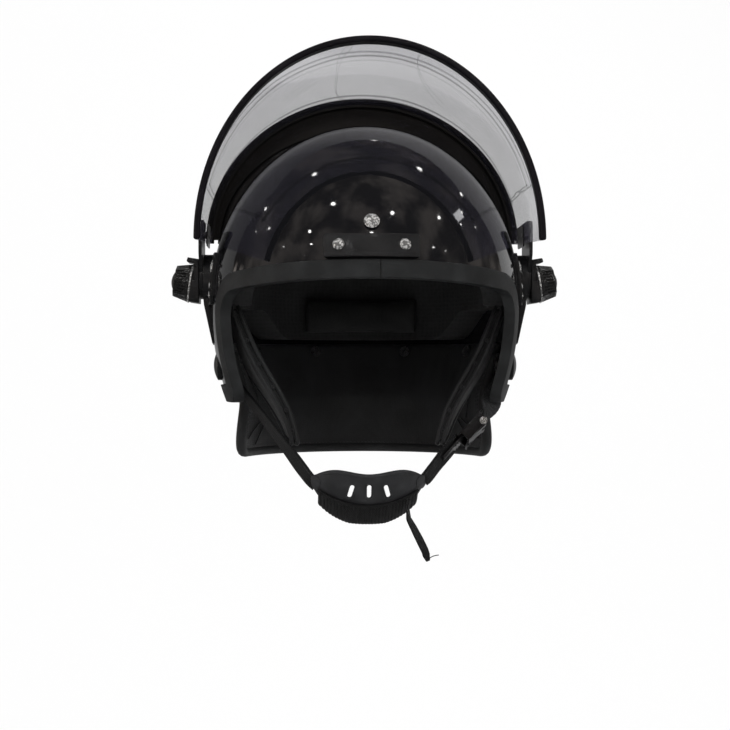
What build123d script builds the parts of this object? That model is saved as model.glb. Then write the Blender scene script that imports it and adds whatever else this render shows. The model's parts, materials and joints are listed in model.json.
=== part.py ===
from build123d import *
import os
from math import asin, cos, radians, sin, sqrt

os.makedirs("parts", exist_ok=True)

# Police riot helmet: open-face shell with a raised visor. Millimetres. The origin is the middle
# of the line through the two visor pivots, the wearer faces -Y, +X is the wearer's left, +Z up.
# Half of the model is made on the +X side and mirrored. Left and right are the wearer's.

# Shell
shell_half_width = 123.0
shell_front = 148.0
shell_back = 150.0
shell_crown = 122.0
widest_height = -16.0
lower_rise = 171.0
shell_wall = 4.0
overrun = 60.0
hair = 0.1

# Lower edge of the shell, seen from the side
brim_height = -3.7
brim_fall = 6.0
temple_forward = 84.0
cheek_forward = 60.0
cheek_lean = 4.0
cheek_bottom = -95.0
cheek_back = -30.0
nape_bottom = -76.0
nape_back = -125.0
temple_radius = 26.0
cheek_radius = 16.0
nape_radius = 40.0

# Rubber edge trim
trim_wall = 2.2
trim_inner_wall = 1.6
trim_width = 11.5
trim_under = 2.0

# Impact liner
liner_gap = 0.4
liner_wall = 20.0
liner_inset = 13.0
liner_side_bottom = -22.0
liner_rear_bottom = -46.0
liner_rear_back = -70.0
liner_radius = 12.0

# Comfort pads
pad_gap = 0.4
brow_pad_height = 34.0
brow_pad_wall = 11.0
brow_pad_centre = 19.0
brow_pad_sweep = 104.0
rear_pad_height = 36.0
rear_pad_centre = -26.0
rear_pad_sweep = 76.0
crown_pad_width = 96.0
crown_pad_length = 120.0
crown_pad_wall = 10.0
side_pad_length = 84.0
side_pad_height = 44.0
side_pad_wall = 9.0
side_pad_centre = 14.0

# Brow plate, its rivets and the stud above it
plate_width = 69.4
plate_height = 17.0
plate_centre = 17.7
plate_wall = 2.4
plate_lip_reach = 5.2
plate_lip_height = 2.4
plate_corner = 2.0
rivet_radius = 4.3
rivet_rise = 2.4
rivet_shank_radius = 1.8
rivet_spacing = 46.8
stud_radius = 5.7
stud_rise = 4.2
stud_height = 34.5
stud_neck_radius = 3.2

# Pivot: stack of pieces outward from the shell
block_face = 128.4
block_radius = 20.0
base_plate_rise = 2.2
base_plate_forward = 38.0
base_plate_back = -24.0
base_plate_top = 20.0
base_plate_bottom = -21.0
base_plate_corner = 9.0
fairing_bottom = -52.0
fairing_half_width = 13.0
fairing_top_face = 128.0
fairing_foot_rise = 0.8
detent_depth = 2.2
detent_outer_radius = 15.0
detent_inner_radius = 8.0
detent_teeth = 24
detent_tooth_depth = 1.0
arm_gap = 0.5
arm_wall = 2.5
arm_hub_radius = 15.5
pivot_radius = 4.0
running_gap = 0.06
pivot_flange_radius = 9.0
pivot_flange_wall = 1.6
base_screw_radius = 5.2
base_screw_rise = 1.2
small_screw_radius = 2.6
small_screw_rise = 0.6
base_screw_forward = 28.0
base_screw_height = 9.0
small_screw_forward = 27.0
small_screw_height = -6.0
small_screw_drop = 7.0

# Housing and knob, on an axis that tips up outwards
knob_tilt = 9.0
seat_out = 138.0
seat_height = -3.0
housing_half_width = 15.0
housing_below = 15.0
housing_above = 19.6
housing_corner = 3.0
roof_reach = 6.0
roof_underside = 16.0
housing_slot_width = 3.0
housing_slot_height = 11.0
housing_slot_depth = 1.6
housing_slot_place = 4.5
washer_radius = 15.6
washer_wall = 1.3
washer_gap = 0.3
knob_radius = 15.2
knob_end_radius = 12.2
knob_length = 12.4
knob_sides = 8
knob_grooves = 32
groove_width = 1.2
groove_depth = 0.9
cap_radius = 9.0
cap_rise = 2.6
knob_stem_radius = 3.9
knob_stem_length = 4.8

# Visor lens: a half-elliptical cone, here raised over the crown
rim_forward = 115.0
seal_back = 70.0
rim_half_width = 128.2
seal_half_width = 129.2
rim_base = 23.5
seal_base = 34.0
rim_top = 172.0
seal_top = 152.5
lens_wall = 3.0
visor_skirt = 70.0
rim_corner = 9.0
seal_corner = 12.0
strip_wall = 1.3
strip_width = 9.0
seal_wall = 1.9
seal_grip = 8.0
seal_front = 2.2
lip_wall = 3.4
lip_side = 9.5
lip_top = 22.0

# Visor arm and its fixings
arm_top_height = 46.0
arm_foot_height = 20.0
arm_back_reach = 22.0
arm_front_reach = 26.0
arm_shoulder = 10.0
arm_corner = 5.0
clamp_wall = 1.0
clamp_lowest = 26.0
clamp_highest = 43.0
clamp_reach = 18.0
clamp_corner = 3.0
arm_screw_radius = 1.6
arm_screw_head_radius = 3.3
arm_screw_head_rise = 1.7
arm_screw_height = 35.0
arm_screw_spacing = 26.0
arm_screw_middle = 2.0

# Strap anchors
anchor_forward = 12.0
anchor_height = -68.0
cover_radius = 12.0
cover_rise = 3.4
anchor_rivet_radius = 3.0
anchor_head_radius = 6.0
anchor_head_wall = 1.6
end_plate_gap = 6.4
anchor_collar_radius = 5.0
end_plate_wall = 1.4
end_plate_radius = 9.5

# Chin strap
strap_width = 19.0
strap_wall = 1.8
strap_tail_width = 11.0
cup_half_width = 44.0
cup_end_height = -157.0
cup_peak_height = -147.6
cup_shoulder_share = 0.35
cup_peak_side = 26.0
cup_dip_height = -151.0
cup_bottom_height = -187.0
cup_form_half_width = 51.0
cup_form_front = 97.0
cup_form_back = -18.0
cup_form_bottom = -190.0
cup_form_middle = -135.0
cup_wall = 4.0
cup_gap = 0.3
slot_length = 10.0
slot_width = 3.4
slot_spacing = 13.6
slot_height = -162.5
slot_lean = 16.0
band_side = 38.0
band_end_height = -163.0
band_top_height = -174.5
band_wall = 1.8
strap_cup_forward = 60.0
strap_cup_side = 45.1
strap_cup_height = -154.0
tail_top_side = 31.0
tail_top_height = -170.0
tail_bend_side = 30.0
tail_bend_height = -180.0
tail_knee_side = 37.0
tail_knee_height = -196.0
tail_end_side = 45.0
tail_end_height = -216.0
tail_forward = 77.8
tail_bend_radius = 12.0
tail_knee_radius = 30.0

# Ratchet buckle on the wearer's left strap
buckle_side = 80.0
buckle_forward = 47.0
buckle_height = -117.0
buckle_width = 23.0
buckle_length = 30.0
buckle_floor = 1.4
buckle_wall = 1.6
buckle_wall_height = 9.0
buckle_corner = 4.0
buckle_pin_radius = 1.5
buckle_pin_rise = 5.0
buckle_pin_place = -8.0
tongue_width = 13.0
tongue_wall = 1.8
tongue_length = 44.0
tongue_inside = 11.0
tongue_teeth = 10
tooth_pitch = 2.6
tooth_rise = 1.1
tongue_tooth_start = -4.0
lever_width = 18.4
lever_wall = 1.8
lever_reach = 21.0
lever_hub_radius = 3.0
lever_gap = 0.35
lever_tab_lift = 3.0
spring_radius = 2.2
spring_wire = 0.35
spring_turns = 4
spring_length = 4.0
rib_pitch = 3.4
rib_rise = 0.8
rib_width = 1.8

# Cheek pads, as sections from the top down. The first section lies under the liner's edge.
cheek_heights = (-52.0, -78.0, -104.0, -127.0)
cheek_sides = (98.5, 86.5, 74.2, 61.6, 53.0)
cheek_fronts = (50.0, 53.0, 55.5, 58.0, 59.0)
cheek_lengths = (46.0, 52.0, 50.0, 38.0, 17.0)
cheek_walls = (8.0, 9.0, 10.0, 8.6, 6.8)
cheek_turns = (8.0, 10.0, 12.0, 12.0, 12.0)
cheek_pad_corner = 3.1
cheek_piping_radius = 1.6
cheek_piping_inset = 1.2

# Neck guard
guard_gap = 2.8
guard_top = -48.0
guard_waist = -96.0
guard_bottom = -141.0
guard_wall = 7.0
guard_waist_half_width = 100.5
guard_waist_half_length = 124.0
guard_bottom_half_width = 106.0
guard_bottom_half_length = 129.0
guard_front = -14.0
guard_corner = 24.0
guard_seam_depth = 1.5
guard_seam_width = 2.4
guard_seam_angles = (-66.0, -44.0, -22.0, 0.0, 22.0, 44.0, 66.0)
guard_binding_width = 6.5
snap_radius = 4.5
snap_wall = 1.6
snap_shank_radius = 2.0
snap_height = -56.0
snap_angles = (-52.0, -18.0, 18.0, 52.0)

shell_half_length = (shell_front + shell_back) / 2
shell_middle = (shell_back - shell_front) / 2
crown_rise = shell_crown - widest_height
outer_limit = seat_out + overrun
axis_out = cos(radians(knob_tilt))
axis_up = sin(radians(knob_tilt))


def dome(inset):
    # solid form of the helmet, drawn in by inset from the outer face
    half_width = shell_half_width - inset
    half_length = shell_half_length - inset
    upper_ball = Sphere(1, arc_size1=0, arc_size2=90, align=None)
    lower_ball = Sphere(1, arc_size1=-90, arc_size2=0, align=None)
    upper = scale(upper_ball, by=(half_width, half_length, crown_rise - inset), about=(0, 0, 0))
    lower = scale(lower_ball, by=(half_width, half_length, lower_rise - inset), about=(0, 0, 0))
    return Pos(0, shell_middle, widest_height) * (upper + lower)


def level_share(height, inset):
    # how wide the form is at a height, as a share of its widest section
    rise = (crown_rise if height > widest_height else lower_rise) - inset
    return sqrt(1 - ((height - widest_height) / rise) ** 2)


def side_at(forward, height, inset):
    # half width of the form at a place, drawn in by inset
    along = (-forward - shell_middle) / (shell_half_length - inset)
    return (shell_half_width - inset) * sqrt(level_share(height, inset) ** 2 - along**2)


def front_at(side, height, inset):
    # how far forward the form reaches at a place
    across = side / (shell_half_width - inset)
    return (shell_half_length - inset) * sqrt(level_share(height, inset) ** 2 - across**2) - shell_middle


def side_face(points, radii):
    # flat outline from (forward, height) points, seen from the side
    corners = [(-forward, height) for forward, height in points]
    return make_face(FilletPolyline(*corners, radius=radii, close=True))


def across(face, reach):
    # side outline carried through the helmet from one side to the other
    return extrude(Plane.YZ * face, amount=reach, both=True)


def outward(face, start, end):
    # side outline carried from one distance from the middle to another, on the +X side
    return extrude(Plane.YZ.offset(start) * face, amount=end - start)


def rod(radius, start, end, forward, height):
    # round bar along X
    middle = (start + end) / 2
    return Pos(middle, -forward, height) * Rot(0, 90, 0) * Cylinder(radius, end - start)


def button(radius, rise, start, forward, height):
    # domed head that faces outward along X
    return Pos(start, -forward, height) * Rot(0, 90, 0) * dome_head(radius, rise)


def pair(name, piece):
    # the +X piece is the wearer's left one
    return {name + "_left": piece, name + "_right": mirror(piece, about=Plane.YZ)}


def shell_outline():
    cheek_low_forward = cheek_forward - cheek_lean
    far_front = shell_front + overrun
    far_back = -shell_back - overrun
    brim_slope = brim_fall / (shell_front - temple_forward)
    points = [
        (far_front, brim_height + overrun * brim_slope),
        (cheek_forward + cheek_lean, brim_height - brim_slope * (shell_front - cheek_forward)),
        (cheek_low_forward, cheek_bottom),
        (cheek_back, cheek_bottom),
        (nape_back, nape_bottom),
        (far_back, nape_bottom),
        (far_back, shell_crown + overrun),
        (far_front, shell_crown + overrun),
    ]
    return side_face(points, [0, temple_radius, cheek_radius, nape_radius, nape_radius, 0, 0, 0])


def make_shell(outline):
    shell = (dome(0) - dome(shell_wall)) & across(outline, outer_limit)
    holes = [rod(pivot_radius + hair, 0, outer_limit, 0, 0)]
    holes.append(rod(anchor_rivet_radius + hair, 0, outer_limit, anchor_forward, anchor_height))
    for hole in holes:
        shell -= hole
        shell -= hole.mirror(Plane.YZ)
    return shell


def make_trim(outline):
    skin = dome(-trim_wall) - dome(shell_wall + trim_inner_wall)
    outside = across(offset(outline, trim_under), outer_limit)
    inside = across(offset(outline, -trim_width), outer_limit + overrun)
    return skin & outside - inside - ((dome(0) - dome(shell_wall)) & across(outline, outer_limit))


def make_liner(outline):
    outer = shell_wall + liner_gap
    far_front = shell_front + overrun
    far_back = -shell_back - overrun
    points = [
        (far_front, liner_side_bottom),
        (liner_rear_back, liner_side_bottom),
        (liner_rear_back + liner_side_bottom, liner_rear_bottom),
        (far_back, liner_rear_bottom),
        (far_back, shell_crown + overrun),
        (far_front, shell_crown + overrun),
    ]
    face = side_face(points, [0, liner_radius, liner_radius, 0, 0, 0])
    liner = (dome(outer) - dome(outer + liner_wall)) & across(face, outer_limit)
    liner &= across(offset(outline, -liner_inset), outer_limit)
    pocket_inner = flange_face() - pivot_flange_wall - liner_gap
    pocket = rod(pivot_flange_radius + liner_gap, pocket_inner, outer_limit, 0, 0)
    return liner - pocket - pocket.mirror(Plane.YZ)


def arc_pad(pad_height, wall, centre, sweep, toward):
    # pad of oval section that follows the inside of the liner, at the front or the back
    inset = shell_wall + liner_gap + liner_wall
    half_width = (shell_half_width - inset) * level_share(centre, inset)
    half_length = (shell_half_length - inset) * level_share(centre, inset)
    bend = half_width**2 / half_length
    reach = half_length - pad_gap - wall / 2 - toward * shell_middle
    middle = reach - bend
    section = Plane.XZ * Pos(bend, 0) * Ellipse(wall / 2, pad_height / 2)
    turned = Rot(0, 0, -90 * toward - sweep / 2) * section
    ring = revolve(turned, axis=Axis.Z, revolution_arc=sweep)
    return Pos(0, -toward * middle, centre) * ring & dome(inset + pad_gap)


def make_crown_pad():
    inset = shell_wall + liner_gap + liner_wall + pad_gap
    oval = Ellipse(crown_pad_width / 2, crown_pad_length / 2)
    column = Pos(0, shell_middle, 0) * extrude(oval, shell_crown)
    return (dome(inset) - dome(inset + crown_pad_wall)) & column


def make_side_pad():
    inset = shell_wall + liner_gap + liner_wall
    ball = scale(Sphere(1), by=(side_pad_wall / 2, side_pad_length / 2, side_pad_height / 2))
    lean = 90 - 90 * level_share(side_pad_centre, inset)
    out = side_at(0, side_pad_centre, inset) - pad_gap - side_pad_wall / 2
    ball = Rot(0, -lean, 0) * ball
    return Pos(out, shell_middle, side_pad_centre) * ball - dome_outside(inset + pad_gap)


def dome_outside(inset):
    # everything outside the form, for trimming pads to the liner
    block = Box(4 * shell_half_width, 4 * shell_half_length, 4 * lower_rise)
    return block - dome(inset)


def cheek_section(step):
    heights = (liner_side_bottom - pad_gap, *cheek_heights)
    height = heights[step]
    wall = cheek_walls[step]
    length = cheek_lengths[step]
    turn = Rot(0, 0, -cheek_turns[step])
    face = RectangleRounded(wall, length, cheek_pad_corner)
    corner = Pos(cheek_sides[step], -cheek_fronts[step], height)
    return corner * turn * Pos(wall / 2, length / 2) * face


def cheek_piping(step, share):
    # round piping sewn along a front edge of the pad, at a share of its thickness
    heights = (liner_side_bottom - pad_gap, *cheek_heights)
    room = cheek_walls[step] - 2 * cheek_piping_inset
    place = Pos(cheek_piping_inset + room * share, cheek_piping_inset) * Circle(cheek_piping_radius)
    return Pos(cheek_sides[step], -cheek_fronts[step], heights[step]) * Rot(0, 0, -cheek_turns[step]) * place


def make_cheek_pad():
    steps = range(len(cheek_sides))
    pad = loft([cheek_section(step) for step in steps])
    for share in (0, 1):
        pad += loft([cheek_piping(step, share) for step in steps])
    return pad


def guard_ring(inset):
    top_half_width = (shell_half_width - shell_wall) * level_share(guard_top, shell_wall) - guard_gap
    top_half_length = (shell_half_length - shell_wall) * level_share(guard_top, shell_wall) - guard_gap
    levels = [
        (guard_top, top_half_width, top_half_length),
        (guard_waist, guard_waist_half_width, guard_waist_half_length),
        (guard_bottom, guard_bottom_half_width, guard_bottom_half_length),
    ]
    faces = []
    for height, half_width, half_length in levels:
        faces.append(Pos(0, shell_middle, height) * Ellipse(half_width - inset, half_length - inset))
    return loft(faces, ruled=True)


def make_neck_guard():
    points = [
        (guard_front, guard_top),
        (guard_front, guard_bottom),
        (-shell_back - overrun, guard_bottom),
        (-shell_back - overrun, guard_top),
    ]
    face = side_face(points, [0, guard_corner, 0, 0])
    guard = (guard_ring(0) - guard_ring(guard_wall)) & across(face, outer_limit)
    # sewn channels run down the padding, on its outside
    skin = guard_ring(0) - guard_ring(guard_seam_depth)
    seam_height = guard_waist - guard_bottom - guard_binding_width
    seam_centre = guard_waist - seam_height / 2
    cutter = Box(guard_seam_width, 2 * shell_half_length, seam_height)
    cutter = Pos(0, shell_half_length, seam_centre) * cutter
    for angle in guard_seam_angles:
        guard -= skin & (Pos(0, shell_middle, 0) * Rot(0, 0, angle) * cutter)
    return guard


def make_snaps():
    # studs that hold the neck guard inside the shell, each in its own direction
    level = Pos(0, shell_middle, snap_height)
    inside_shell = dome(shell_wall + hair) - guard_ring(0)
    inside_guard = guard_ring(guard_wall) - guard_ring(guard_wall + snap_wall)
    studs = []
    for angle in snap_angles:
        turned = level * Rot(0, 0, angle) * Pos(0, shell_half_length, 0) * Rot(90, 0, 0)
        studs.append(turned * Cylinder(snap_shank_radius, shell_half_length) & inside_shell)
        studs.append(turned * Cylinder(snap_radius, shell_half_length) & inside_guard)
    return studs


def front_box(width, height, centre, corner):
    # front outline carried forward from the middle of the helmet
    face = Plane.XZ * Pos(0, centre) * RectangleRounded(width, height, corner)
    return extrude(face, amount=shell_front + overrun)


def make_brow_plate():
    plate = dome(-plate_wall) - dome(0)
    plate &= front_box(plate_width, plate_height, plate_centre, plate_corner)
    lip_centre = plate_centre - plate_height / 2 + plate_lip_height / 2
    lip = dome(-plate_lip_reach) - dome(0)
    lip &= front_box(plate_width, plate_lip_height, lip_centre, plate_corner / 2)
    plate += lip
    for side in (-1, 1):
        plate -= front_rod(rivet_shank_radius + hair, side * rivet_spacing / 2, plate_centre, 0, overrun)
    return plate


def front_plane(side, height, rise):
    # plane on the front of the shell, square to its surface
    forward = front_at(side, height, 0)
    rise_here = crown_rise if height > widest_height else lower_rise
    normal = Vector(
        side / shell_half_width**2,
        (-forward - shell_middle) / shell_half_length**2,
        (height - widest_height) / rise_here**2,
    ).normalized()
    place = Vector(side, -forward, height) + normal * rise
    return Plane(origin=place, z_dir=normal)


def front_rod(radius, side, height, start, end):
    plane = front_plane(side, height, start)
    return plane * Pos(0, 0, (end - start) / 2) * Cylinder(radius, end - start)


def dome_head(radius, rise):
    # domed disc that stands on the level plane
    ball = (radius**2 + rise**2) / (2 * rise)
    half_turn = asin(radius / ball) / 2
    edges = [
        Line((0, 0), (radius, 0)),
        ThreePointArc((radius, 0), (ball * sin(half_turn), rise - ball + ball * cos(half_turn)), (0, rise)),
        Line((0, rise), (0, 0)),
    ]
    return revolve(Plane.XZ * make_face(edges), axis=Axis.Z)


def make_brow_rivets():
    rivets = []
    for side in (-1, 1):
        place = side * rivet_spacing / 2
        head = front_plane(place, plate_centre, plate_wall + hair) * dome_head(rivet_radius, rivet_rise)
        shank = front_rod(rivet_shank_radius, place, plate_centre, hair, plate_wall + 2 * hair)
        rivets.append(head + shank)
    return rivets


def make_stud():
    head = front_plane(0, stud_height, stud_rise / 2) * dome_head(stud_radius, stud_rise / 2)
    return head + front_rod(stud_neck_radius, 0, stud_height, hair, stud_rise / 2 + hair)


def make_pivot_base():
    points = [
        (base_plate_forward, base_plate_top),
        (base_plate_back, base_plate_top),
        (base_plate_back, base_plate_bottom),
        (base_plate_forward, base_plate_bottom),
    ]
    plate_face = side_face(points, [base_plate_corner] * 4)
    skin = dome(-base_plate_rise) - dome(0)
    plate = skin & outward(plate_face, 0, outer_limit)
    block = rod(block_radius, 0, block_face, 0, 0) - dome(0)
    foot = side_at(0, fairing_bottom, 0) + fairing_foot_rise
    fairing = Plane.XZ * make_face(
        Polyline(
            (0, 0),
            (fairing_top_face, 0),
            (fairing_top_face, -block_radius),
            (foot, fairing_bottom),
            (0, fairing_bottom),
            close=True,
        )
    )
    fairing = extrude(fairing, amount=fairing_half_width, both=True) - dome(0)
    fairing &= rod(-fairing_bottom, 0, outer_limit, 0, 0)
    base = plate + block + fairing
    recess = rod(detent_outer_radius + hair, block_face - detent_depth - hair, outer_limit, 0, 0)
    bore = rod(pivot_radius + hair, 0, outer_limit, 0, 0)
    base -= recess
    base -= bore
    return base


def make_detent_ring():
    start = block_face - detent_depth
    ring = rod(detent_outer_radius, start, block_face, 0, 0)
    ring -= rod(detent_inner_radius, start, outer_limit, 0, 0)
    ring_middle = (detent_outer_radius + detent_inner_radius) / 2
    notch = Pos(block_face, ring_middle, 0) * Box(
        2 * detent_tooth_depth, detent_outer_radius, detent_tooth_depth
    )
    for step in range(detent_teeth):
        ring -= Rot(360 / detent_teeth * step, 0, 0) * notch
    return ring


def flange_face():
    # the pivot stud's flange lies under the shell, clear of its curve
    return side_at(pivot_flange_radius, pivot_flange_radius, shell_wall) - liner_gap


def make_pivot_stud():
    inner = flange_face()
    flange = rod(pivot_flange_radius, inner - pivot_flange_wall, inner, 0, 0)
    arm_outer = block_face + arm_gap + arm_wall
    shaft = rod(pivot_radius, inner - pivot_flange_wall, arm_outer + arm_gap, 0, 0)
    return flange + shaft


def make_base_screws():
    screws = []
    places = [
        (base_screw_radius, base_screw_rise, base_screw_forward, base_screw_height),
        (small_screw_radius, small_screw_rise, small_screw_forward, small_screw_height),
        (small_screw_radius, small_screw_rise, small_screw_forward, small_screw_height - small_screw_drop),
    ]
    for radius, rise, forward, height in places:
        surface = side_at(forward, height, 0)
        normal = Vector(
            surface / shell_half_width**2,
            (-forward - shell_middle) / shell_half_length**2,
            (height - widest_height) / (crown_rise if height > widest_height else lower_rise) ** 2,
        ).normalized()
        place = Vector(surface, -forward, height) + normal * (base_plate_rise + hair)
        head = Plane(origin=place, z_dir=normal) * dome_head(radius, rise)
        screws.append(head)
        screws.append(head.mirror(Plane.YZ))
    return screws


def knob_plane(out):
    # plane square to the knob's tilted axis, out from the housing's seat
    seat = Vector(seat_out, 0, seat_height) + Vector(axis_out, 0, axis_up) * out
    return Plane(origin=seat, x_dir=(0, 1, 0), z_dir=(axis_out, 0, axis_up))


def make_housing():
    inner_face = block_face + arm_wall + 2 * arm_gap
    middle = (housing_above - housing_below) / 2
    face = Pos(0, middle) * RectangleRounded(
        2 * housing_half_width, housing_above + housing_below, housing_corner
    )
    back = seat_out - inner_face + housing_above
    block = extrude(knob_plane(-back) * face, amount=back + roof_reach)
    limit = Pos(inner_face + overrun, 0, 0) * Box(2 * overrun, 2 * overrun, 2 * overrun)
    block &= limit
    seat_height_cut = roof_underside + overrun
    seat_cut = Pos(0, roof_underside - seat_height_cut / 2, overrun / 2) * Box(
        2 * overrun, seat_height_cut, overrun
    )
    block -= knob_plane(0) * seat_cut
    slot = Box(housing_slot_depth * 2, housing_slot_width, housing_slot_height)
    for side in (-1, 1):
        block -= Pos(inner_face + roof_reach / 2, side * housing_half_width, housing_slot_place) * slot
    bore = knob_plane(-knob_stem_length - washer_gap) * Pos(0, 0, overrun / 2) * Cylinder(
        knob_stem_radius + running_gap, overrun
    )
    return block - bore


def make_washer():
    ring = Cylinder(washer_radius, washer_wall) - Cylinder(knob_stem_radius + running_gap, overrun)
    return knob_plane(washer_gap) * Pos(0, 0, washer_wall / 2) * ring


def make_knob():
    start = washer_gap + washer_wall
    base_face = RegularPolygon(knob_radius, knob_sides)
    end_face = Pos(0, 0, knob_length) * RegularPolygon(knob_end_radius, knob_sides)
    body = loft([base_face, end_face], ruled=True)
    lean = (knob_radius - knob_end_radius) / knob_length
    flat_share = cos(radians(180 / knob_sides))
    for step in range(knob_grooves):
        angle = 360 / knob_grooves * (step + 1 / 2)
        reach = knob_radius * flat_share
        cutter = Box(2 * groove_depth, groove_width, knob_length * 3 / 4)
        tilted = Pos(reach - lean * knob_length / 2, 0, knob_length / 2) * cutter
        body -= Rot(0, 0, angle) * tilted
    stem = Pos(0, 0, -(knob_stem_length + start) / 2 + start / 4) * Cylinder(
        knob_stem_radius, knob_stem_length + start / 2
    )
    recess = Pos(0, 0, knob_length) * Cylinder(cap_radius + hair, groove_depth * 2)
    return knob_plane(start) * (body + stem - recess)


def make_knob_cap():
    start = washer_gap + washer_wall + knob_length - groove_depth
    return knob_plane(start) * dome_head(cap_radius, cap_rise + groove_depth)


def visor_section(y, outset):
    way = (y + rim_forward) / (seal_back + rim_forward)
    half_width = rim_half_width + way * (seal_half_width - rim_half_width) + outset
    base = rim_base + way * (seal_base - rim_base)
    rise = rim_top - rim_base + way * (seal_top - seal_base - rim_top + rim_base) + outset
    low = base - visor_skirt
    edges = [
        Line((half_width, low), (half_width, base)),
        EllipticalCenterArc((0, base), half_width, rise, start_angle=0, arc_size=90),
        EllipticalCenterArc((0, base), half_width, rise, start_angle=90, arc_size=90),
        Line((-half_width, base), (-half_width, low)),
        Line((-half_width, low), (half_width, low)),
    ]
    plane = Plane(origin=(0, y, 0), x_dir=(1, 0, 0), z_dir=(0, -1, 0))
    return plane * make_face(edges)


def visor_form(outset, start, end):
    # solid inside the lens's outer face, grown by outset
    return loft([visor_section(start, outset), visor_section(end, outset)], ruled=True)


def visor_outline(front, back):
    points = [
        (front, rim_base),
        (-back, seal_base),
        (-back, rim_top + overrun),
        (front, rim_top + overrun),
    ]
    return side_face(points, [rim_corner, seal_corner, 0, 0])


def lens_hole(radius, place):
    return rod(radius, 0, outer_limit, place, arm_screw_height)


def screw_places():
    return [arm_screw_middle - arm_screw_spacing / 2, arm_screw_middle + arm_screw_spacing / 2]


def make_lens():
    outer = visor_form(0, -rim_forward, seal_back)
    inner = visor_form(-lens_wall, -rim_forward - strip_width, seal_back + strip_width)
    lens = (outer - inner) & across(visor_outline(rim_forward, seal_back), outer_limit)
    return lens


def drill_lens(lens):
    for place in screw_places():
        hole = lens_hole(arm_screw_radius + hair, place)
        lens -= hole
        lens -= hole.mirror(Plane.YZ)
    return lens


def make_edge_strip(lens):
    outer = visor_form(strip_wall, -rim_forward - strip_wall, -rim_forward + strip_width)
    inset = -lens_wall - strip_wall
    inner = visor_form(inset, -rim_forward - strip_width, -rim_forward + 2 * strip_width)
    strip = (outer - inner) & across(visor_outline(rim_forward + strip_wall, seal_back), outer_limit)
    return strip - lens


def make_gasket(lens):
    start = seal_back - seal_grip
    end = seal_back + seal_front
    outer = visor_form(seal_wall, start, end)
    inner = visor_form(-lens_wall - seal_wall, start - seal_grip, end + seal_grip)
    channel = outer - inner
    lip_outer = visor_form(-lens_wall - seal_wall / 2, end - lip_wall, end)
    plane = Plane(origin=(0, end + overrun, 0), x_dir=(1, 0, 0), z_dir=(0, -1, 0))
    lip_half_width = seal_half_width - lip_side
    lip_rise = seal_top - seal_base - lip_top
    opening = Pos(0, seal_base) * Ellipse(lip_half_width, lip_rise)
    opening += Pos(0, seal_base - visor_skirt / 2) * Rectangle(2 * lip_half_width, visor_skirt)
    lip = lip_outer - extrude(plane * opening, amount=2 * overrun)
    gasket = (channel + lip) & across(visor_outline(rim_forward, end), outer_limit)
    return gasket - lens


def make_arm():
    points = [
        (-arm_back_reach, arm_foot_height),
        (-arm_back_reach, arm_top_height),
        (arm_front_reach, arm_top_height),
        (arm_front_reach, arm_foot_height),
        (arm_shoulder, 0),
        (-arm_shoulder, 0),
    ]
    face = side_face(points, [arm_corner] * 4 + [0, 0])
    start = block_face + arm_gap
    arm = outward(face, start - arm_wall, start + arm_wall)
    arm += rod(arm_hub_radius, start, start + arm_wall, 0, 0)
    arm -= visor_form(hair, -rim_forward, seal_back)
    arm -= rod(pivot_radius + running_gap, 0, outer_limit, 0, 0)
    below = Box(2 * start, 2 * overrun, 2 * arm_foot_height)
    arm -= below
    for place in screw_places():
        arm -= lens_hole(arm_screw_radius + hair, place)
    return arm


def make_clamp():
    points = [
        (-clamp_reach + arm_screw_middle, clamp_lowest),
        (-clamp_reach + arm_screw_middle, clamp_highest),
        (clamp_reach + arm_screw_middle, clamp_highest),
        (clamp_reach + arm_screw_middle, clamp_lowest),
    ]
    face = side_face(points, [clamp_corner] * 4)
    outer = visor_form(-lens_wall - hair, -rim_forward, seal_back)
    inset = -lens_wall - hair - clamp_wall
    inner = visor_form(inset, -rim_forward - strip_width, seal_back + strip_width)
    clamp = (outer - inner) & outward(face, 0, outer_limit)
    for place in screw_places():
        clamp -= lens_hole(arm_screw_radius + hair, place)
    return clamp


def make_arm_screws():
    screws = []
    start = block_face + arm_gap + arm_wall
    inner = seal_half_width - lens_wall - clamp_wall - strip_wall
    for place in screw_places():
        head = button(arm_screw_head_radius, arm_screw_head_rise, start + hair, place, arm_screw_height)
        screw = head + rod(arm_screw_radius, inner, start + 2 * hair, place, arm_screw_height)
        screws.append(screw)
        screws.append(screw.mirror(Plane.YZ))
    return screws


def make_cover():
    high = side_at(anchor_forward, anchor_height, 0) + cover_rise
    ball = (cover_radius**2 + cover_rise**2) / (2 * cover_rise)
    disc = Pos(high - ball, -anchor_forward, anchor_height) * Sphere(ball)
    disc &= rod(cover_radius, 0, outer_limit, anchor_forward, anchor_height)
    return disc - dome(0)


def anchor_stack():
    # distances from the middle of the strap anchor's inner pieces
    shell_inner = side_at(anchor_forward, anchor_height, shell_wall)
    plate_outer = shell_inner - end_plate_gap
    plate_inner = plate_outer - end_plate_wall
    return shell_inner, plate_outer, plate_inner


def make_anchor():
    shell_inner, plate_outer, plate_inner = anchor_stack()
    shell_outer = side_at(anchor_forward, anchor_height, 0)
    head_outer = plate_inner - cup_gap
    place = (anchor_forward, anchor_height)
    head = rod(anchor_head_radius, head_outer - anchor_head_wall, head_outer, *place)
    shank = rod(anchor_rivet_radius, head_outer - hair, shell_outer - hair, *place)
    collar = rod(anchor_collar_radius, plate_outer + cup_gap, shell_inner - hair, *place)
    return head + (shank & dome(hair)) + (collar & dome(shell_wall + hair))


def strap_frame(start, end):
    # plane at the start of a strap run, with its normal along the run and x across its width
    run = (end - start).normalized()
    width_dir = Vector(0, run.Z, -run.Y).normalized()
    return Plane(origin=start, x_dir=width_dir, z_dir=run)


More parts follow.
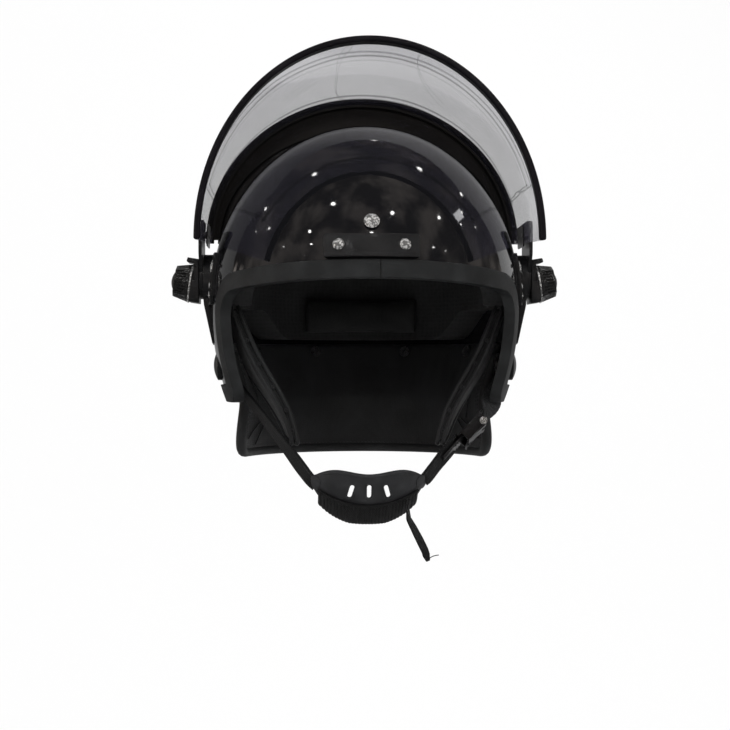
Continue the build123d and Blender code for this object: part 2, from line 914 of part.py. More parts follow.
def strap_run(start, end, width, wall):
    length = (end - start).length
    return extrude(strap_frame(start, end) * Rectangle(width, wall), amount=length)


def anchor_point():
    shell_inner, plate_outer, plate_inner = anchor_stack()
    return Vector((plate_outer + plate_inner) / 2, -anchor_forward, anchor_height)


def cup_point():
    return Vector(strap_cup_side, -strap_cup_forward, strap_cup_height)


def buckle_point():
    return Vector(buckle_side, -buckle_forward, buckle_height)


def make_end_plate(target):
    shell_inner, plate_outer, plate_inner = anchor_stack()
    plate = rod(end_plate_radius, plate_inner, plate_outer, anchor_forward, anchor_height)
    start = anchor_point()
    flat_target = Vector(start.X, target.Y, target.Z)
    neck = strap_frame(start, flat_target) * Pos(0, 0, end_plate_radius / 2) * Box(
        strap_width, end_plate_wall, end_plate_radius
    )
    plate += neck
    return plate - rod(anchor_rivet_radius + running_gap, 0, outer_limit, anchor_forward, anchor_height)


def strap_top(target):
    # where the webbing starts under its end plate
    start = anchor_point()
    flat_target = Vector(start.X, target.Y, target.Z)
    down = (flat_target - start).normalized()
    return start + down * (end_plate_radius + strap_wall / 2)


def make_right_strap():
    start = strap_top(cup_point())
    return strap_run(start, cup_point(), strap_width, strap_wall).mirror(Plane.YZ)


def buckle_frame_plane():
    run = (cup_point() - buckle_point()).normalized()
    width_dir = Vector(0, run.Z, -run.Y).normalized()
    return Plane(origin=buckle_point(), x_dir=width_dir, z_dir=run)


def buckle_local(length_place):
    plane = buckle_frame_plane()
    return plane.origin + plane.z_dir * length_place


def left_strap_end():
    # where the upper webbing meets the buckle
    return buckle_local(-buckle_length / 2 - strap_wall / 2)


def make_left_strap_upper():
    end = left_strap_end()
    start = strap_top(end)
    webbing = strap_run(start, end, strap_width, strap_wall)
    length = (end - start).length
    frame = strap_frame(start, end)
    for step in range(int(length / rib_pitch) - 1):
        rib = Box(strap_width, strap_wall + 2 * rib_rise, rib_width)
        webbing += frame * Pos(0, 0, rib_pitch * (step + 1)) * rib
    return webbing


def make_left_strap_lower():
    start = buckle_local(tongue_length - tongue_inside + strap_wall / 3)
    return strap_run(start, cup_point(), strap_width, strap_wall)


def buckle_flat():
    # plane in the middle of the webbing at the buckle: x across, y towards the chin, z outward
    plane = buckle_frame_plane()
    return Plane(origin=plane.origin, x_dir=plane.x_dir, z_dir=-plane.y_dir)


def make_buckle_frame():
    under = strap_wall / 2 + buckle_floor
    flat = buckle_flat()
    floor_face = RectangleRounded(buckle_width, buckle_length, buckle_corner)
    floor = extrude(Pos(0, 0, -under) * floor_face, buckle_floor)
    wall_place = buckle_width / 2 - buckle_wall / 2
    side_face_outline = Pos(-under + buckle_wall_height / 2, 0) * RectangleRounded(
        buckle_wall_height, buckle_length - 2 * buckle_corner, buckle_corner / 2
    )
    upright = Plane(origin=(0, 0, 0), x_dir=(0, 0, 1), z_dir=(1, 0, 0))
    wall = extrude(upright * side_face_outline, buckle_wall / 2, both=True)
    frame = floor
    for side in (-1, 1):
        frame += Pos(side * wall_place, 0, 0) * wall
    frame -= pin_bar(buckle_pin_radius + running_gap, 2 * buckle_width)
    return flat * frame


def pin_bar(radius, length):
    return Pos(0, buckle_pin_place, buckle_pin_rise) * Rot(0, 90, 0) * Cylinder(radius, length)


def make_buckle_pin():
    head_place = buckle_width / 2 + buckle_wall / 4
    pin = pin_bar(buckle_pin_radius, buckle_width)
    for side in (-1, 1):
        pin += Pos(side * head_place, 0, 0) * pin_bar(2 * buckle_pin_radius, buckle_wall / 2)
    return buckle_flat() * pin


def make_tongue():
    bottom = -strap_wall / 2 + hair
    start = -tongue_inside
    plate = Pos(0, start + tongue_length / 2, bottom + tongue_wall / 2) * Box(
        tongue_width, tongue_length, tongue_wall
    )
    top = bottom + tongue_wall
    tooth = make_face(Polyline((0, 0), (tooth_pitch, 0), (0, tooth_rise), close=True))
    side_on = Plane(origin=(0, 0, top), x_dir=(0, 1, 0), z_dir=(1, 0, 0))
    tooth = extrude(side_on * tooth, tongue_width / 2, both=True)
    for step in range(tongue_teeth):
        plate += Pos(0, tongue_tooth_start + tooth_pitch * step, 0) * tooth
    return buckle_flat() * plate


def make_lever():
    low = strap_wall / 2 + tooth_rise + lever_gap
    points = [
        (buckle_pin_place, buckle_pin_rise - lever_hub_radius),
        (buckle_pin_place, buckle_pin_rise + lever_hub_radius),
        (buckle_pin_place + lever_reach - lever_tab_lift, buckle_pin_rise + lever_wall / 2),
        (buckle_pin_place + lever_reach, buckle_pin_rise + lever_tab_lift),
        (buckle_pin_place + lever_reach, buckle_pin_rise + lever_tab_lift - lever_wall),
        (buckle_pin_place + lever_reach - lever_tab_lift, buckle_pin_rise - lever_wall / 2),
        (buckle_pin_place + lever_reach / 2 + lever_wall, buckle_pin_rise - lever_wall / 2),
        (buckle_pin_place + lever_reach / 2, low),
        (buckle_pin_place + lever_reach / 2 - lever_wall, buckle_pin_rise - lever_wall / 2),
    ]
    side_on = Plane(origin=(0, 0, 0), x_dir=(0, 1, 0), z_dir=(1, 0, 0))
    body = extrude(side_on * make_face(Polyline(*points, close=True)), lever_width / 2, both=True)
    body += pin_bar(lever_hub_radius, lever_width)
    body -= pin_bar(buckle_pin_radius + running_gap, 2 * buckle_width)
    spring_room = Pos(0, buckle_pin_place, buckle_pin_rise) * Box(
        spring_length + lever_wall, 2 * lever_hub_radius + lever_gap, 2 * lever_hub_radius + lever_gap
    )
    return buckle_flat() * (body - spring_room)


def make_lever_spring():
    pitch = spring_length / (spring_turns + 1)
    path = Helix(pitch, pitch * spring_turns, spring_radius)
    section = Plane(origin=path @ 0, z_dir=path % 0) * Circle(spring_wire)
    coil = sweep(section, path=path)
    turned = Rot(0, 90, 0) * Pos(0, 0, -pitch * spring_turns / 2) * coil
    return buckle_flat() * Pos(0, buckle_pin_place, buckle_pin_rise) * turned


def bowl(grow):
    # form of a chin, grown outward
    half_length = (cup_form_front - cup_form_back) / 2
    middle = (cup_form_front + cup_form_back) / 2
    rise = cup_form_middle - cup_form_bottom
    ball = scale(Sphere(1), by=(cup_form_half_width + grow, half_length + grow, rise + grow))
    return Pos(0, -middle, cup_form_middle) * ball


def forward_of(face):
    # front outline carried forward from the middle of the chin
    middle = (cup_form_front + cup_form_back) / 2
    return extrude(Plane.XZ.offset(middle) * face, amount=cup_form_front)


def make_chin_cup():
    shoulder_side = (cup_half_width + cup_peak_side) / 2
    shoulder_height = cup_peak_height + (cup_end_height - cup_peak_height) * cup_shoulder_share
    edges = [
        ThreePointArc(
            (-cup_half_width, cup_end_height),
            (-shoulder_side, shoulder_height),
            (-cup_peak_side, cup_peak_height),
        ),
        ThreePointArc(
            (-cup_peak_side, cup_peak_height),
            (0, cup_dip_height),
            (cup_peak_side, cup_peak_height),
        ),
        ThreePointArc(
            (cup_peak_side, cup_peak_height),
            (shoulder_side, shoulder_height),
            (cup_half_width, cup_end_height),
        ),
        ThreePointArc(
            (cup_half_width, cup_end_height),
            (0, cup_bottom_height),
            (-cup_half_width, cup_end_height),
        ),
    ]
    cup = (bowl(0) - bowl(-cup_wall)) & forward_of(make_face(edges))
    for side in (-1, 0, 1):
        slot = Pos(side * slot_spacing, slot_height) * Rot(0, 0, 90 + side * slot_lean)
        cup -= forward_of(slot * SlotOverall(slot_length, slot_width))
    return cup


def make_cup_band():
    low = cup_bottom_height - overrun
    edges = [
        ThreePointArc((-band_side, band_end_height), (0, band_top_height), (band_side, band_end_height)),
        Line((band_side, band_end_height), (band_side, low)),
        Line((band_side, low), (-band_side, low)),
        Line((-band_side, low), (-band_side, band_end_height)),
    ]
    band = (bowl(cup_gap + band_wall) - bowl(cup_gap)) & forward_of(make_face(edges))
    limit = Pos(0, 0, cup_bottom_height + overrun) * Box(4 * band_side, 8 * band_side, 2 * overrun)
    return band & limit


def make_strap_tail():
    points = [
        (tail_top_side, tail_top_height),
        (tail_bend_side, tail_bend_height),
        (tail_knee_side, tail_knee_height),
        (tail_end_side, tail_end_height),
    ]
    bends = [tail_bend_radius, tail_knee_radius]
    path = Plane.XZ.offset(tail_forward) * FilletPolyline(*points, radius=bends)
    start = path @ 0
    plane = Plane(origin=start, x_dir=(0, 1, 0), z_dir=path % 0)
    return sweep(plane * Rectangle(strap_tail_width, strap_wall), path=path)


nodes = {}
outline = shell_outline()
nodes["outer_shell"] = make_shell(outline)
nodes["edge_trim"] = make_trim(outline)
nodes["impact_liner"] = make_liner(outline)
nodes["crown_pad"] = make_crown_pad()
nodes["brow_pad"] = arc_pad(brow_pad_height, brow_pad_wall, brow_pad_centre, brow_pad_sweep, 1)
nodes["rear_pad"] = arc_pad(rear_pad_height, brow_pad_wall, rear_pad_centre, rear_pad_sweep, -1)
nodes.update(pair("side_pad", make_side_pad()))
nodes.update(pair("cheek_pad", make_cheek_pad()))
nodes["neck_guard"] = make_neck_guard()
nodes["neck_guard_snaps"] = Compound(make_snaps())
nodes["brow_plate"] = make_brow_plate()
nodes["brow_rivets"] = Compound(make_brow_rivets())
nodes["badge_stud"] = make_stud()
nodes.update(pair("pivot_base", make_pivot_base()))
nodes.update(pair("detent_ring", make_detent_ring()))
nodes.update(pair("pivot_stud", make_pivot_stud()))
nodes["base_screws"] = Compound(make_base_screws())
nodes.update(pair("pivot_housing", make_housing()))
nodes.update(pair("knob_washer", make_washer()))
nodes.update(pair("knob", make_knob()))
nodes.update(pair("knob_cap", make_knob_cap()))
lens = make_lens()
nodes["visor_lens"] = drill_lens(lens)
nodes["visor_edge_strip"] = make_edge_strip(lens)
nodes["visor_gasket"] = make_gasket(lens)
nodes.update(pair("visor_arm", make_arm()))
nodes.update(pair("visor_clamp", make_clamp()))
nodes["arm_screws"] = Compound(make_arm_screws())
nodes.update(pair("anchor_cover", make_cover()))
nodes.update(pair("anchor_rivet", make_anchor()))
nodes["strap_end_plate_right"] = make_end_plate(cup_point()).mirror(Plane.YZ)
nodes["strap_end_plate_left"] = make_end_plate(left_strap_end())
nodes["strap_right"] = make_right_strap()
nodes["strap_left_upper"] = make_left_strap_upper()
nodes["strap_left_lower"] = make_left_strap_lower()
nodes["buckle_frame"] = make_buckle_frame()
nodes["buckle_pin"] = make_buckle_pin()
nodes["buckle_lever"] = make_lever()
nodes["lever_spring"] = make_lever_spring()
nodes["toothed_tongue"] = make_tongue()
nodes["chin_cup"] = make_chin_cup()
nodes["cup_webbing"] = make_cup_band()
nodes["strap_tail"] = make_strap_tail()

for name, piece in nodes.items():
    export_step(piece, f"parts/{name}.step")
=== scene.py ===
import bmesh
import bpy
import json
from math import asin, cos, exp, pi, radians, sin, sqrt
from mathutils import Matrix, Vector

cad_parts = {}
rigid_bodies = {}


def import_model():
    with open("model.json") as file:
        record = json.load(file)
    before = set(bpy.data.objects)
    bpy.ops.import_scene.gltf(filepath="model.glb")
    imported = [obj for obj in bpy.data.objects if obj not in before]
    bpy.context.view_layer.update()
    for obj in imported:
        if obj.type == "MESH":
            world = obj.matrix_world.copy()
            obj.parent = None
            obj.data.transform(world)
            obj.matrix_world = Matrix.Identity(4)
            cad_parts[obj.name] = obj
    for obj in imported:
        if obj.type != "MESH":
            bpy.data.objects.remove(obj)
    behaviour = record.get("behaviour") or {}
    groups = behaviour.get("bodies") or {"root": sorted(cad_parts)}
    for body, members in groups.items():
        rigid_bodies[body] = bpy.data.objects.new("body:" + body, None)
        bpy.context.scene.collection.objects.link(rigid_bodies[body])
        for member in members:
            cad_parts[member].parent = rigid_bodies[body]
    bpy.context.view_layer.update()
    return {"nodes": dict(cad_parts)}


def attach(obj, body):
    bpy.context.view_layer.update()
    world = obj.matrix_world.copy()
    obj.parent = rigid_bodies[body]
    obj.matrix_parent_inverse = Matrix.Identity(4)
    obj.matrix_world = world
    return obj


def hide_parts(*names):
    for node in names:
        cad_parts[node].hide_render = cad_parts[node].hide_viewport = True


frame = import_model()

cad = frame["nodes"]
bodyOf = {name: node.parent.name.split(":")[-1] for name, node in cad.items()}
scene = bpy.context.scene
bpy.ops.object.select_all(action="DESELECT")
print("frame loaded:", len(cad), "nodes")


# finishes

class Wire:
    # an output in a node tree, so that plain sums and products of it add the Math nodes

    def __init__(self, tree, out):
        self.tree = tree
        self.out = out

    def __add__(self, other):
        return self.tree.maths("ADD", self, other)

    def __radd__(self, other):
        return self.tree.maths("ADD", other, self)

    def __sub__(self, other):
        return self.tree.maths("SUBTRACT", self, other)

    def __rsub__(self, other):
        return self.tree.maths("SUBTRACT", other, self)

    def __mul__(self, other):
        return self.tree.maths("MULTIPLY", self, other)

    def __rmul__(self, other):
        return self.tree.maths("MULTIPLY", other, self)

    def __truediv__(self, other):
        return self.tree.maths("DIVIDE", self, other)


class Tree:
    # the nodes of one material or of the world

    def __init__(self, owner):
        owner.use_nodes = True
        self.owner = owner
        self.nodes = owner.node_tree.nodes
        self.links = owner.node_tree.links

    def node(self, kind, settings=None, values=None, out=0):
        made = self.nodes.new(kind)
        for key, value in (settings or {}).items():
            setattr(made, key, value)
        for socket, value in (values or {}).items():
            self.put(made.inputs[socket], value)
        return Wire(self, made.outputs[out])

    def put(self, socket, value):
        if isinstance(value, Wire):
            self.links.new(value.out, socket)
        elif hasattr(socket.default_value, "__len__") and len(socket.default_value) == 4 and len(value) == 3:
            socket.default_value = (*value, 1)
        else:
            socket.default_value = value

    def maths(self, operation, first, second=0.0):
        return self.node("ShaderNodeMath", {"operation": operation}, {0: first, 1: second})

    def place(self, scale=(1, 1, 1), turn=(0, 0, 0), source="Object"):
        # a point on the piece, in metres times scale
        point = self.node("ShaderNodeTexCoord", out=source)
        return self.node("ShaderNodeMapping", None, {"Vector": point, "Scale": scale, "Rotation": turn})

    def axes(self, vector):
        split = self.nodes.new("ShaderNodeSeparateXYZ")
        self.links.new(vector.out, split.inputs[0])
        return [Wire(self, out) for out in split.outputs]

    def noise(self, vector, scale, detail=3.0, rough=0.55):
        return self.node("ShaderNodeTexNoise", None,
                         {"Vector": vector, "Scale": scale, "Detail": detail, "Roughness": rough})

    def cells(self, vector, scale, spread=1.0, dimensions="3D"):
        return self.node("ShaderNodeTexVoronoi", {"voronoi_dimensions": dimensions},
                         {"Vector": vector, "Scale": scale, "Randomness": spread})

    def fit(self, value, low, high, start=0.0, end=1.0, smooth=False):
        kind = "SMOOTHSTEP" if smooth else "LINEAR"
        return self.node("ShaderNodeMapRange", {"interpolation_type": kind},
                         {"Value": value, "From Min": low, "From Max": high, "To Min": start, "To Max": end})

    def near(self, value, place, inner, outer):
        # 1 within the inner distance of a place, 0 beyond the outer one
        return self.fit(self.maths("ABSOLUTE", value - place), inner, outer, 1, 0)

    def blend(self, amount, first, second, kind="MIX"):
        # from the first colour to the second
        return self.node("ShaderNodeMix", {"data_type": "RGBA", "blend_type": kind},
                         {"Factor": amount, 6: first, 7: second}, 2)

    def bump(self, height, depth, strength=1.0):
        # height from 0 to 1, depth in metres
        return self.node("ShaderNodeBump", None, {"Height": height, "Distance": depth, "Strength": strength})

    def rays(self, *kinds):
        # 1 where such a ray is being followed
        path = self.nodes.new("ShaderNodeLightPath")
        return [Wire(self, path.outputs["Is " + kind + " Ray"]) for kind in kinds]


def finish(name, colour, rough, metal=0.0, **fixed):
    # a Principled material; varying values are joined afterwards
    made = bpy.data.materials.new(name)
    tree = Tree(made)
    shader = tree.nodes["Principled BSDF"]
    tree.put(shader.inputs["Base Color"], colour)
    tree.put(shader.inputs["Roughness"], rough)
    tree.put(shader.inputs["Metallic"], metal)
    for key, value in fixed.items():
        tree.put(shader.inputs[key.replace("_", " ")], value)
    tree.shader = shader
    return tree


def join(tree, **wires):
    for key, wire in wires.items():
        tree.put(tree.shader.inputs[key.replace("_", " ")], wire)
    return tree.owner


def scaled(colour, factor, lift=0.0):
    return tuple(min(1, channel * factor + lift) for channel in colour)


shellLook = {"colour": (0.006, 0.006, 0.007), "dust": (0.05, 0.05, 0.052), "rough": 0.05, "coat": 1.0,
             "coatRough": 0.02, "specks": 900, "patches": 38, "swirl": 16, "waves": 42, "waveDepth": 0.00003}


def shellFinish():
    # moulded gloss black with a clear coat, fine dust and faint swirl marks
    look = shellLook
    tree = finish("shellGloss", look["colour"], look["rough"], Coat_Roughness=look["coatRough"],
                  Coat_Weight=look["coat"])
    spot = tree.place()
    specks = tree.fit(tree.cells(spot, look["specks"]), 0.0, 0.16, 1, 0)
    patches = tree.fit(tree.noise(spot, look["patches"], 4), 0.52, 0.68)
    swirl = tree.noise(spot, look["swirl"], 5, 0.6)
    return join(tree, Base_Color=tree.blend(specks * patches * 0.6, look["colour"], look["dust"]),
                Roughness=tree.fit(swirl, 0.3, 0.75, 0.035, 0.1) + specks * patches * 0.2,
                Normal=tree.bump(tree.noise(spot, look["waves"], 2), look["waveDepth"], 0.6))


def rubberFinish(name, colour, rough, grain, depth, coat=0.0, seam=None):
    # moulded rubber: fine pores, a little dust in them, and where it is given the butt joint of its ends
    tree = finish(name, colour, rough, Specular_IOR_Level=0.42, Coat_Weight=coat, Coat_Roughness=0.12)
    spot = tree.place()
    pores = tree.noise(spot, grain, 4, 0.7)
    worn = tree.fit(tree.noise(spot, 55, 3), 0.42, 0.72)
    shade = tree.blend(worn * 0.55, colour, scaled(colour, 1.9, 0.004))
    if seam is not None:
        x, y = tree.axes(spot)[:2]
        cut = tree.near(x, seam, 0.0002, 0.0005) * tree.fit(y, -0.1, -0.11)
        shade = tree.blend(cut, shade, (0.002, 0.002, 0.002))
    return join(tree, Base_Color=shade,
                Roughness=tree.fit(pores, 0.3, 0.7, rough - 0.07, rough + 0.1),
                Normal=tree.bump(pores + tree.noise(spot, grain * 0.27) * 0.6, depth, 0.8))


def plasticFinish(name, colour, rough, coat=0.0):
    # moulded nylon with a faint spark-eroded grain
    tree = finish(name, colour, rough, Coat_Weight=coat, Coat_Roughness=0.15)
    spot = tree.place()
    grain = tree.noise(spot, 1500, 3, 0.7)
    worn = tree.fit(tree.noise(spot, 120, 4), 0.5, 0.75)
    return join(tree, Base_Color=tree.blend(worn * 0.4, colour, scaled(colour, 2.2)),
                Roughness=tree.fit(grain, 0.3, 0.7, rough - 0.05, rough + 0.09),
                Normal=tree.bump(grain, 0.00004, 0.5))


def metalFinish(name, colour, rough, scratch=0.4, metal=1.0, dent=0.00002, flecks=0.0):
    # plated metal with fine scratches and small stains; where it is given, a painted reflection: dark flecks
    # in its colour that stand for the dark spots of its sparkle
    tree = finish(name, colour, rough, metal)
    spot = tree.place()
    lines = tree.noise(tree.place((1, 1, 9)), 700, 3, 0.7)
    stain = tree.fit(tree.noise(spot, 160, 4), 0.5, 0.78)
    # painted reflection: dark cells painted into the colour stand in for the dark surroundings that a bright
    # plate shows in small spots
    sparkleShade = tree.fit(tree.cells(spot, 620), 0.42, 0.6) * flecks
    base = tree.blend(sparkleShade, colour, scaled(colour, 0.16))
    return join(tree, Base_Color=tree.blend(stain * 0.3, base, scaled(colour, 0.45)),
                Roughness=tree.fit(lines, 0.3, 0.7, rough * 0.7, rough * 1.4) + stain * 0.08,
                Normal=tree.bump(lines, dent, scratch))


lensLook = {"colour": (0.2, 0.19, 0.27), "haze": (0.26, 0.25, 0.33), "mark": (0.05, 0.05, 0.06),
            "alpha": 0.37, "rough": 0.05, "coat": 0.6, "coatRough": 0.02, "front": -0.078, "second": -0.066,
            "back": 0.044, "side": 0.0675, "reach": ((-0.083, -0.082), (0.05, 0.049), (0.064, 0.065)),
            "crease": 0.13}


def lensFinish():
    # clear sheet under its protective film: a grey tint, haze, dust, the film's border and creases in it
    look = lensLook
    tree = finish("lensFilm", look["colour"], look["rough"], Alpha=look["alpha"], IOR=1.5,
                  Coat_Weight=look["coat"], Coat_Roughness=look["coatRough"])
    spot = tree.place()
    y, z = tree.axes(spot)[1:]
    haze = tree.fit(tree.noise(spot, 9, 5, 0.6), 0.4, 0.75)
    dust = tree.fit(tree.cells(spot, 420), 0.0, 0.1, 1, 0)
    waver = (tree.noise(spot, 20, 2) - 0.5) * 0.006

    def line(value, place, wide):
        away = tree.maths("ABSOLUTE", value - place + waver)
        return tree.fit(away, wide * 0.4, wide, 1, 0)

    front, back, side = look["reach"]
    inside = tree.fit(y, *front) * tree.fit(y, *back) * tree.fit(z, *side)
    border = line(y, look["front"], 0.0032) + line(y, look["back"], 0.0036) + line(z, look["side"], 0.0008)
    border = (border + line(y, look["second"], 0.0022) * 0.4) * inside
    slow = tree.noise(tree.place((1, 0.6, 1), (0.3, 0.2, 0.9)), 6.0, 1, 0.4)
    creases = tree.fit(tree.maths("PINGPONG", slow, look["crease"]), 0.0, 0.0016, 1, 0)
    marks = tree.maths("MAXIMUM", creases * 0.6, border)
    shade = tree.blend(haze * 0.5, look["colour"], look["haze"])
    return join(tree, Base_Color=tree.blend(marks, shade, look["mark"]),
                Alpha=look["alpha"] + haze * 0.05 + dust * 0.12 + marks * 0.3,
                Roughness=tree.fit(haze, 0, 1, look["rough"], look["rough"] + 0.08),
                Normal=tree.bump(marks + tree.noise(spot, 30, 2) * 0.3, 0.00004, 0.5))


def weaveFinish(name, colour, pale, pitch, fold, depth):
    # woven tape: slanting yarns that change their slant every fold, in metres along the tape's own UVs
    tree = finish(name, colour, 0.74, Sheen_Weight=0.03, Sheen_Roughness=0.5)
    u, v = tree.axes(tree.place(source="UV"))[:2]
    slant = tree.maths("PINGPONG", u + 1.0, fold)
    yarn = tree.fit(tree.maths("SINE", (slant + v) * (2 * pi / pitch)), -0.7, 0.8, 0, 1, True)
    edge = tree.maths("SINE", u * (2 * pi / fold))
    fuzz = tree.noise(tree.place(), 2600, 3, 0.8)
    worn = tree.fit(tree.noise(tree.place(), 70, 3), 0.45, 0.7)
    return join(tree, Base_Color=tree.blend(yarn * 0.45 + fuzz * 0.2 + worn * 0.2, colour, pale),
                Roughness=tree.fit(fuzz, 0.3, 0.7, 0.66, 0.84),
                Normal=tree.bump(yarn + edge * 0.15 + fuzz * 0.3, depth, 0.9))


def clothFinish(name, colour, pale, grain, depth, rough):
    # coated or knitted cloth: a small regular knit under broad soft variation
    tree = finish(name, colour, rough, Sheen_Weight=0.06, Sheen_Roughness=0.45)
    spot = tree.place()
    knit = tree.cells(spot, grain, 0.35)
    broad = tree.fit(tree.noise(spot, 30, 4), 0.35, 0.75)
    return join(tree, Base_Color=tree.blend(broad * 0.5 + knit * 0.25, colour, pale),
                Roughness=tree.fit(knit, 0.1, 0.7, rough + 0.08, rough - 0.06),
                Normal=tree.bump(knit + tree.noise(spot, grain * 2.2) * 0.4, depth, 0.8))


finishes = {
    "shell": shellFinish(),
    "trim": rubberFinish("trimRubber", (0.0125, 0.0132, 0.0137), 0.5, grain=900, depth=0.0001, seam=0.006),
    "gasket": rubberFinish("gasketRubber", (0.0035, 0.0035, 0.0038), 0.16, grain=260, depth=0.000008,
                           coat=0.8),
    "strip": rubberFinish("stripRubber", (0.0035, 0.0028, 0.0048), 0.36, grain=300, depth=0.00001, coat=0.15),
    "cup": rubberFinish("cupRubber", (0.022, 0.022, 0.0235), 0.5, grain=800, depth=0.0001),
    "plastic": plasticFinish("blackNylon", (0.0095, 0.0095, 0.0102), 0.3, coat=0.25),
    "knob": plasticFinish("knobNylon", (0.011, 0.0108, 0.0108), 0.27, coat=0.3),
    # painted highlight: the near-white colour, only 0.62 metallic so part of it shows as diffuse, makes the
    # plate bright without reflections; its dark flecks are painted reflection
    "chrome": metalFinish("chromePlate", (1.0, 0.99, 0.97), 0.14, scratch=0.8, metal=0.62, dent=0.00004,
                          flecks=0.9),
    "steel": metalFinish("zincSteel", (0.55, 0.55, 0.56), 0.26),
    "buckle": metalFinish("buckleSteel", (0.06, 0.06, 0.064), 0.3),
    "lens": lensFinish(),
    "webbing": weaveFinish("strapWebbing", (0.003, 0.003, 0.0034), (0.014, 0.0142, 0.015),
                           pitch=0.0017, fold=0.0034, depth=0.0004),
    "ribbed": weaveFinish("ribbedWebbing", (0.0028, 0.0028, 0.003), (0.012, 0.0122, 0.013),
                          pitch=0.0012, fold=0.0012, depth=0.0003),
    # a lighter copy of the ribbed webbing for the upper left strap; part of its lift in colour is painted
    # light, making up for the shade of the trim over it
    "ribbedStrap": weaveFinish("ribbedStrap", (0.014, 0.014, 0.0148), (0.05, 0.0505, 0.053),
                               pitch=0.0012, fold=0.0012, depth=0.0003),
    "piping": clothFinish("pipingCloth", (0.010, 0.010, 0.0105), (0.026, 0.027, 0.028), 1300, 0.0001, 0.46),
    "binding": clothFinish("bindingTape", (0.010, 0.010, 0.0105), (0.03, 0.031, 0.032), 1000, 0.0002, 0.56),
    "thread": clothFinish("sewingThread", (0.02, 0.02, 0.021), (0.07, 0.07, 0.072), 2200, 0.0001, 0.6),
    "pad": clothFinish("padCloth", (0.0085, 0.0085, 0.009), (0.02, 0.02, 0.021), 900, 0.00012, 0.7),
    "guard": clothFinish("guardCloth", (0.010, 0.010, 0.0105), (0.026, 0.026, 0.028), 620, 0.00015, 0.5),
    "lining": clothFinish("liningKnit", (0.008, 0.008, 0.0085), (0.018, 0.018, 0.019), 1100, 0.0002, 0.8),
    "foam": clothFinish("beadFoam", (0.012, 0.012, 0.0125), (0.03, 0.03, 0.031), 300, 0.0003, 0.72),
}


def pairs(*pieces):
    return [piece + "_" + side for piece in pieces for side in ("left", "right")]


nodeFinishes = {
    "shell": ["outer_shell"],
    "trim": ["edge_trim"],
    "gasket": ["visor_gasket"],
    "strip": ["visor_edge_strip"],
    "cup": ["chin_cup"],
    "plastic": ["brow_plate", "toothed_tongue"] + pairs("pivot_base", "detent_ring", "pivot_housing",
                                                        "anchor_cover", "visor_arm", "visor_clamp"),
    "knob": pairs("knob", "knob_cap"),
    "chrome": ["brow_rivets", "badge_stud", "base_screws"] + pairs("knob_washer"),
    "steel": ["neck_guard_snaps", "arm_screws", "buckle_pin", "lever_spring"] + pairs(
        "pivot_stud", "anchor_rivet", "strap_end_plate"),
    "buckle": ["buckle_frame", "buckle_lever"],
    "lens": ["visor_lens"],
    "webbing": ["strap_right", "strap_left_upper", "strap_left_lower", "cup_webbing", "strap_tail"],
    "pad": pairs("cheek_pad"),
    "guard": ["neck_guard"],
    "lining": ["crown_pad", "brow_pad", "rear_pad"] + pairs("side_pad"),
    "foam": ["impact_liner"],
}
for key, names in nodeFinishes.items():
    for name in names:
        cad[name].data.materials.clear()
        cad[name].data.materials.append(finishes[key])
print("finishes made:", len(finishes))


# how pieces are made

def camelName(node):
    first, *others = node.split("_")
    return first + "".join(word.title() for word in others)


def use(piece):
    # the one selected and active object
    bpy.ops.object.select_all(action="DESELECT")
    piece.select_set(True)
    bpy.context.view_layer.objects.active = piece


def started(name, primitive, **values):
    # a new primitive, alone selected
    bpy.ops.object.select_all(action="DESELECT")
    primitive(**values)
    piece = bpy.context.object
    piece.name = name
    return piece


def edited(piece, operator, **values):
    # one edit-mode operator on the whole of a piece
    use(piece)
    bpy.ops.object.mode_set(mode="EDIT")
    bpy.ops.mesh.select_all(action="SELECT")
    operator(**values)
    bpy.ops.object.mode_set(mode="OBJECT")


def smooth(piece, angle=38):
    use(piece)
    bpy.ops.object.shade_smooth_by_angle(angle=radians(angle))


def rounded(piece):
    # smooth all over, with no sharp edge
    for face in piece.data.polygons:
        face.use_smooth = True
    return piece


def apply(piece, kind, **values):
    # adds one modifier and applies it
    use(piece)
    made = piece.modifiers.new(kind.lower(), kind)
    for key, value in values.items():
        setattr(made, key, value)
    bpy.ops.object.modifier_apply(modifier=made.name)


def bevelled(piece, width, segments, angle):
    # small radii on the edges that turn by more than the angle
    apply(piece, "BEVEL", width=width, segments=segments, limit_method="ANGLE", angle_limit=radians(angle))


def tidy(piece):
    # closes doubles and turns the faces outwards
    edited(piece, bpy.ops.mesh.remove_doubles, threshold=0.000004)
    edited(piece, bpy.ops.mesh.normals_make_consistent, inside=False)


def keep(piece, body, key, *nodes):
    # gives a finished piece its finish, its body and the nodes that it stands for
    piece.data.materials.clear()
    piece.data.materials.append(finishes[key])
    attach(piece, body)
    if nodes:
        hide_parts(*nodes)
    piece.select_set(False)
    return piece


def copied(node, name):
    # a merged copy of a CAD node's mesh
    piece = bpy.data.objects.new(name, cad[node].data.copy())
    scene.collection.objects.link(piece)
    tidy(piece)
    return piece


moulded = {"flat": 0.6, "edge": 32}  # in degrees: what counts as flat, and what as an edge


def softened(node, key, width, segments, cutter=None):
    # the same piece with the small radius that a moulded one has along its edges
    piece = copied(node, camelName(node))
    if cutter:
        apply(piece, "BOOLEAN", operation="DIFFERENCE", object=cutter, solver="EXACT")
        bpy.data.objects.remove(cutter)
    edited(piece, bpy.ops.mesh.dissolve_limited, angle_limit=radians(moulded["flat"]))
    bevelled(piece, width, segments, moulded["edge"])
    smooth(piece)
    keep(piece, bodyOf[node], key, node)


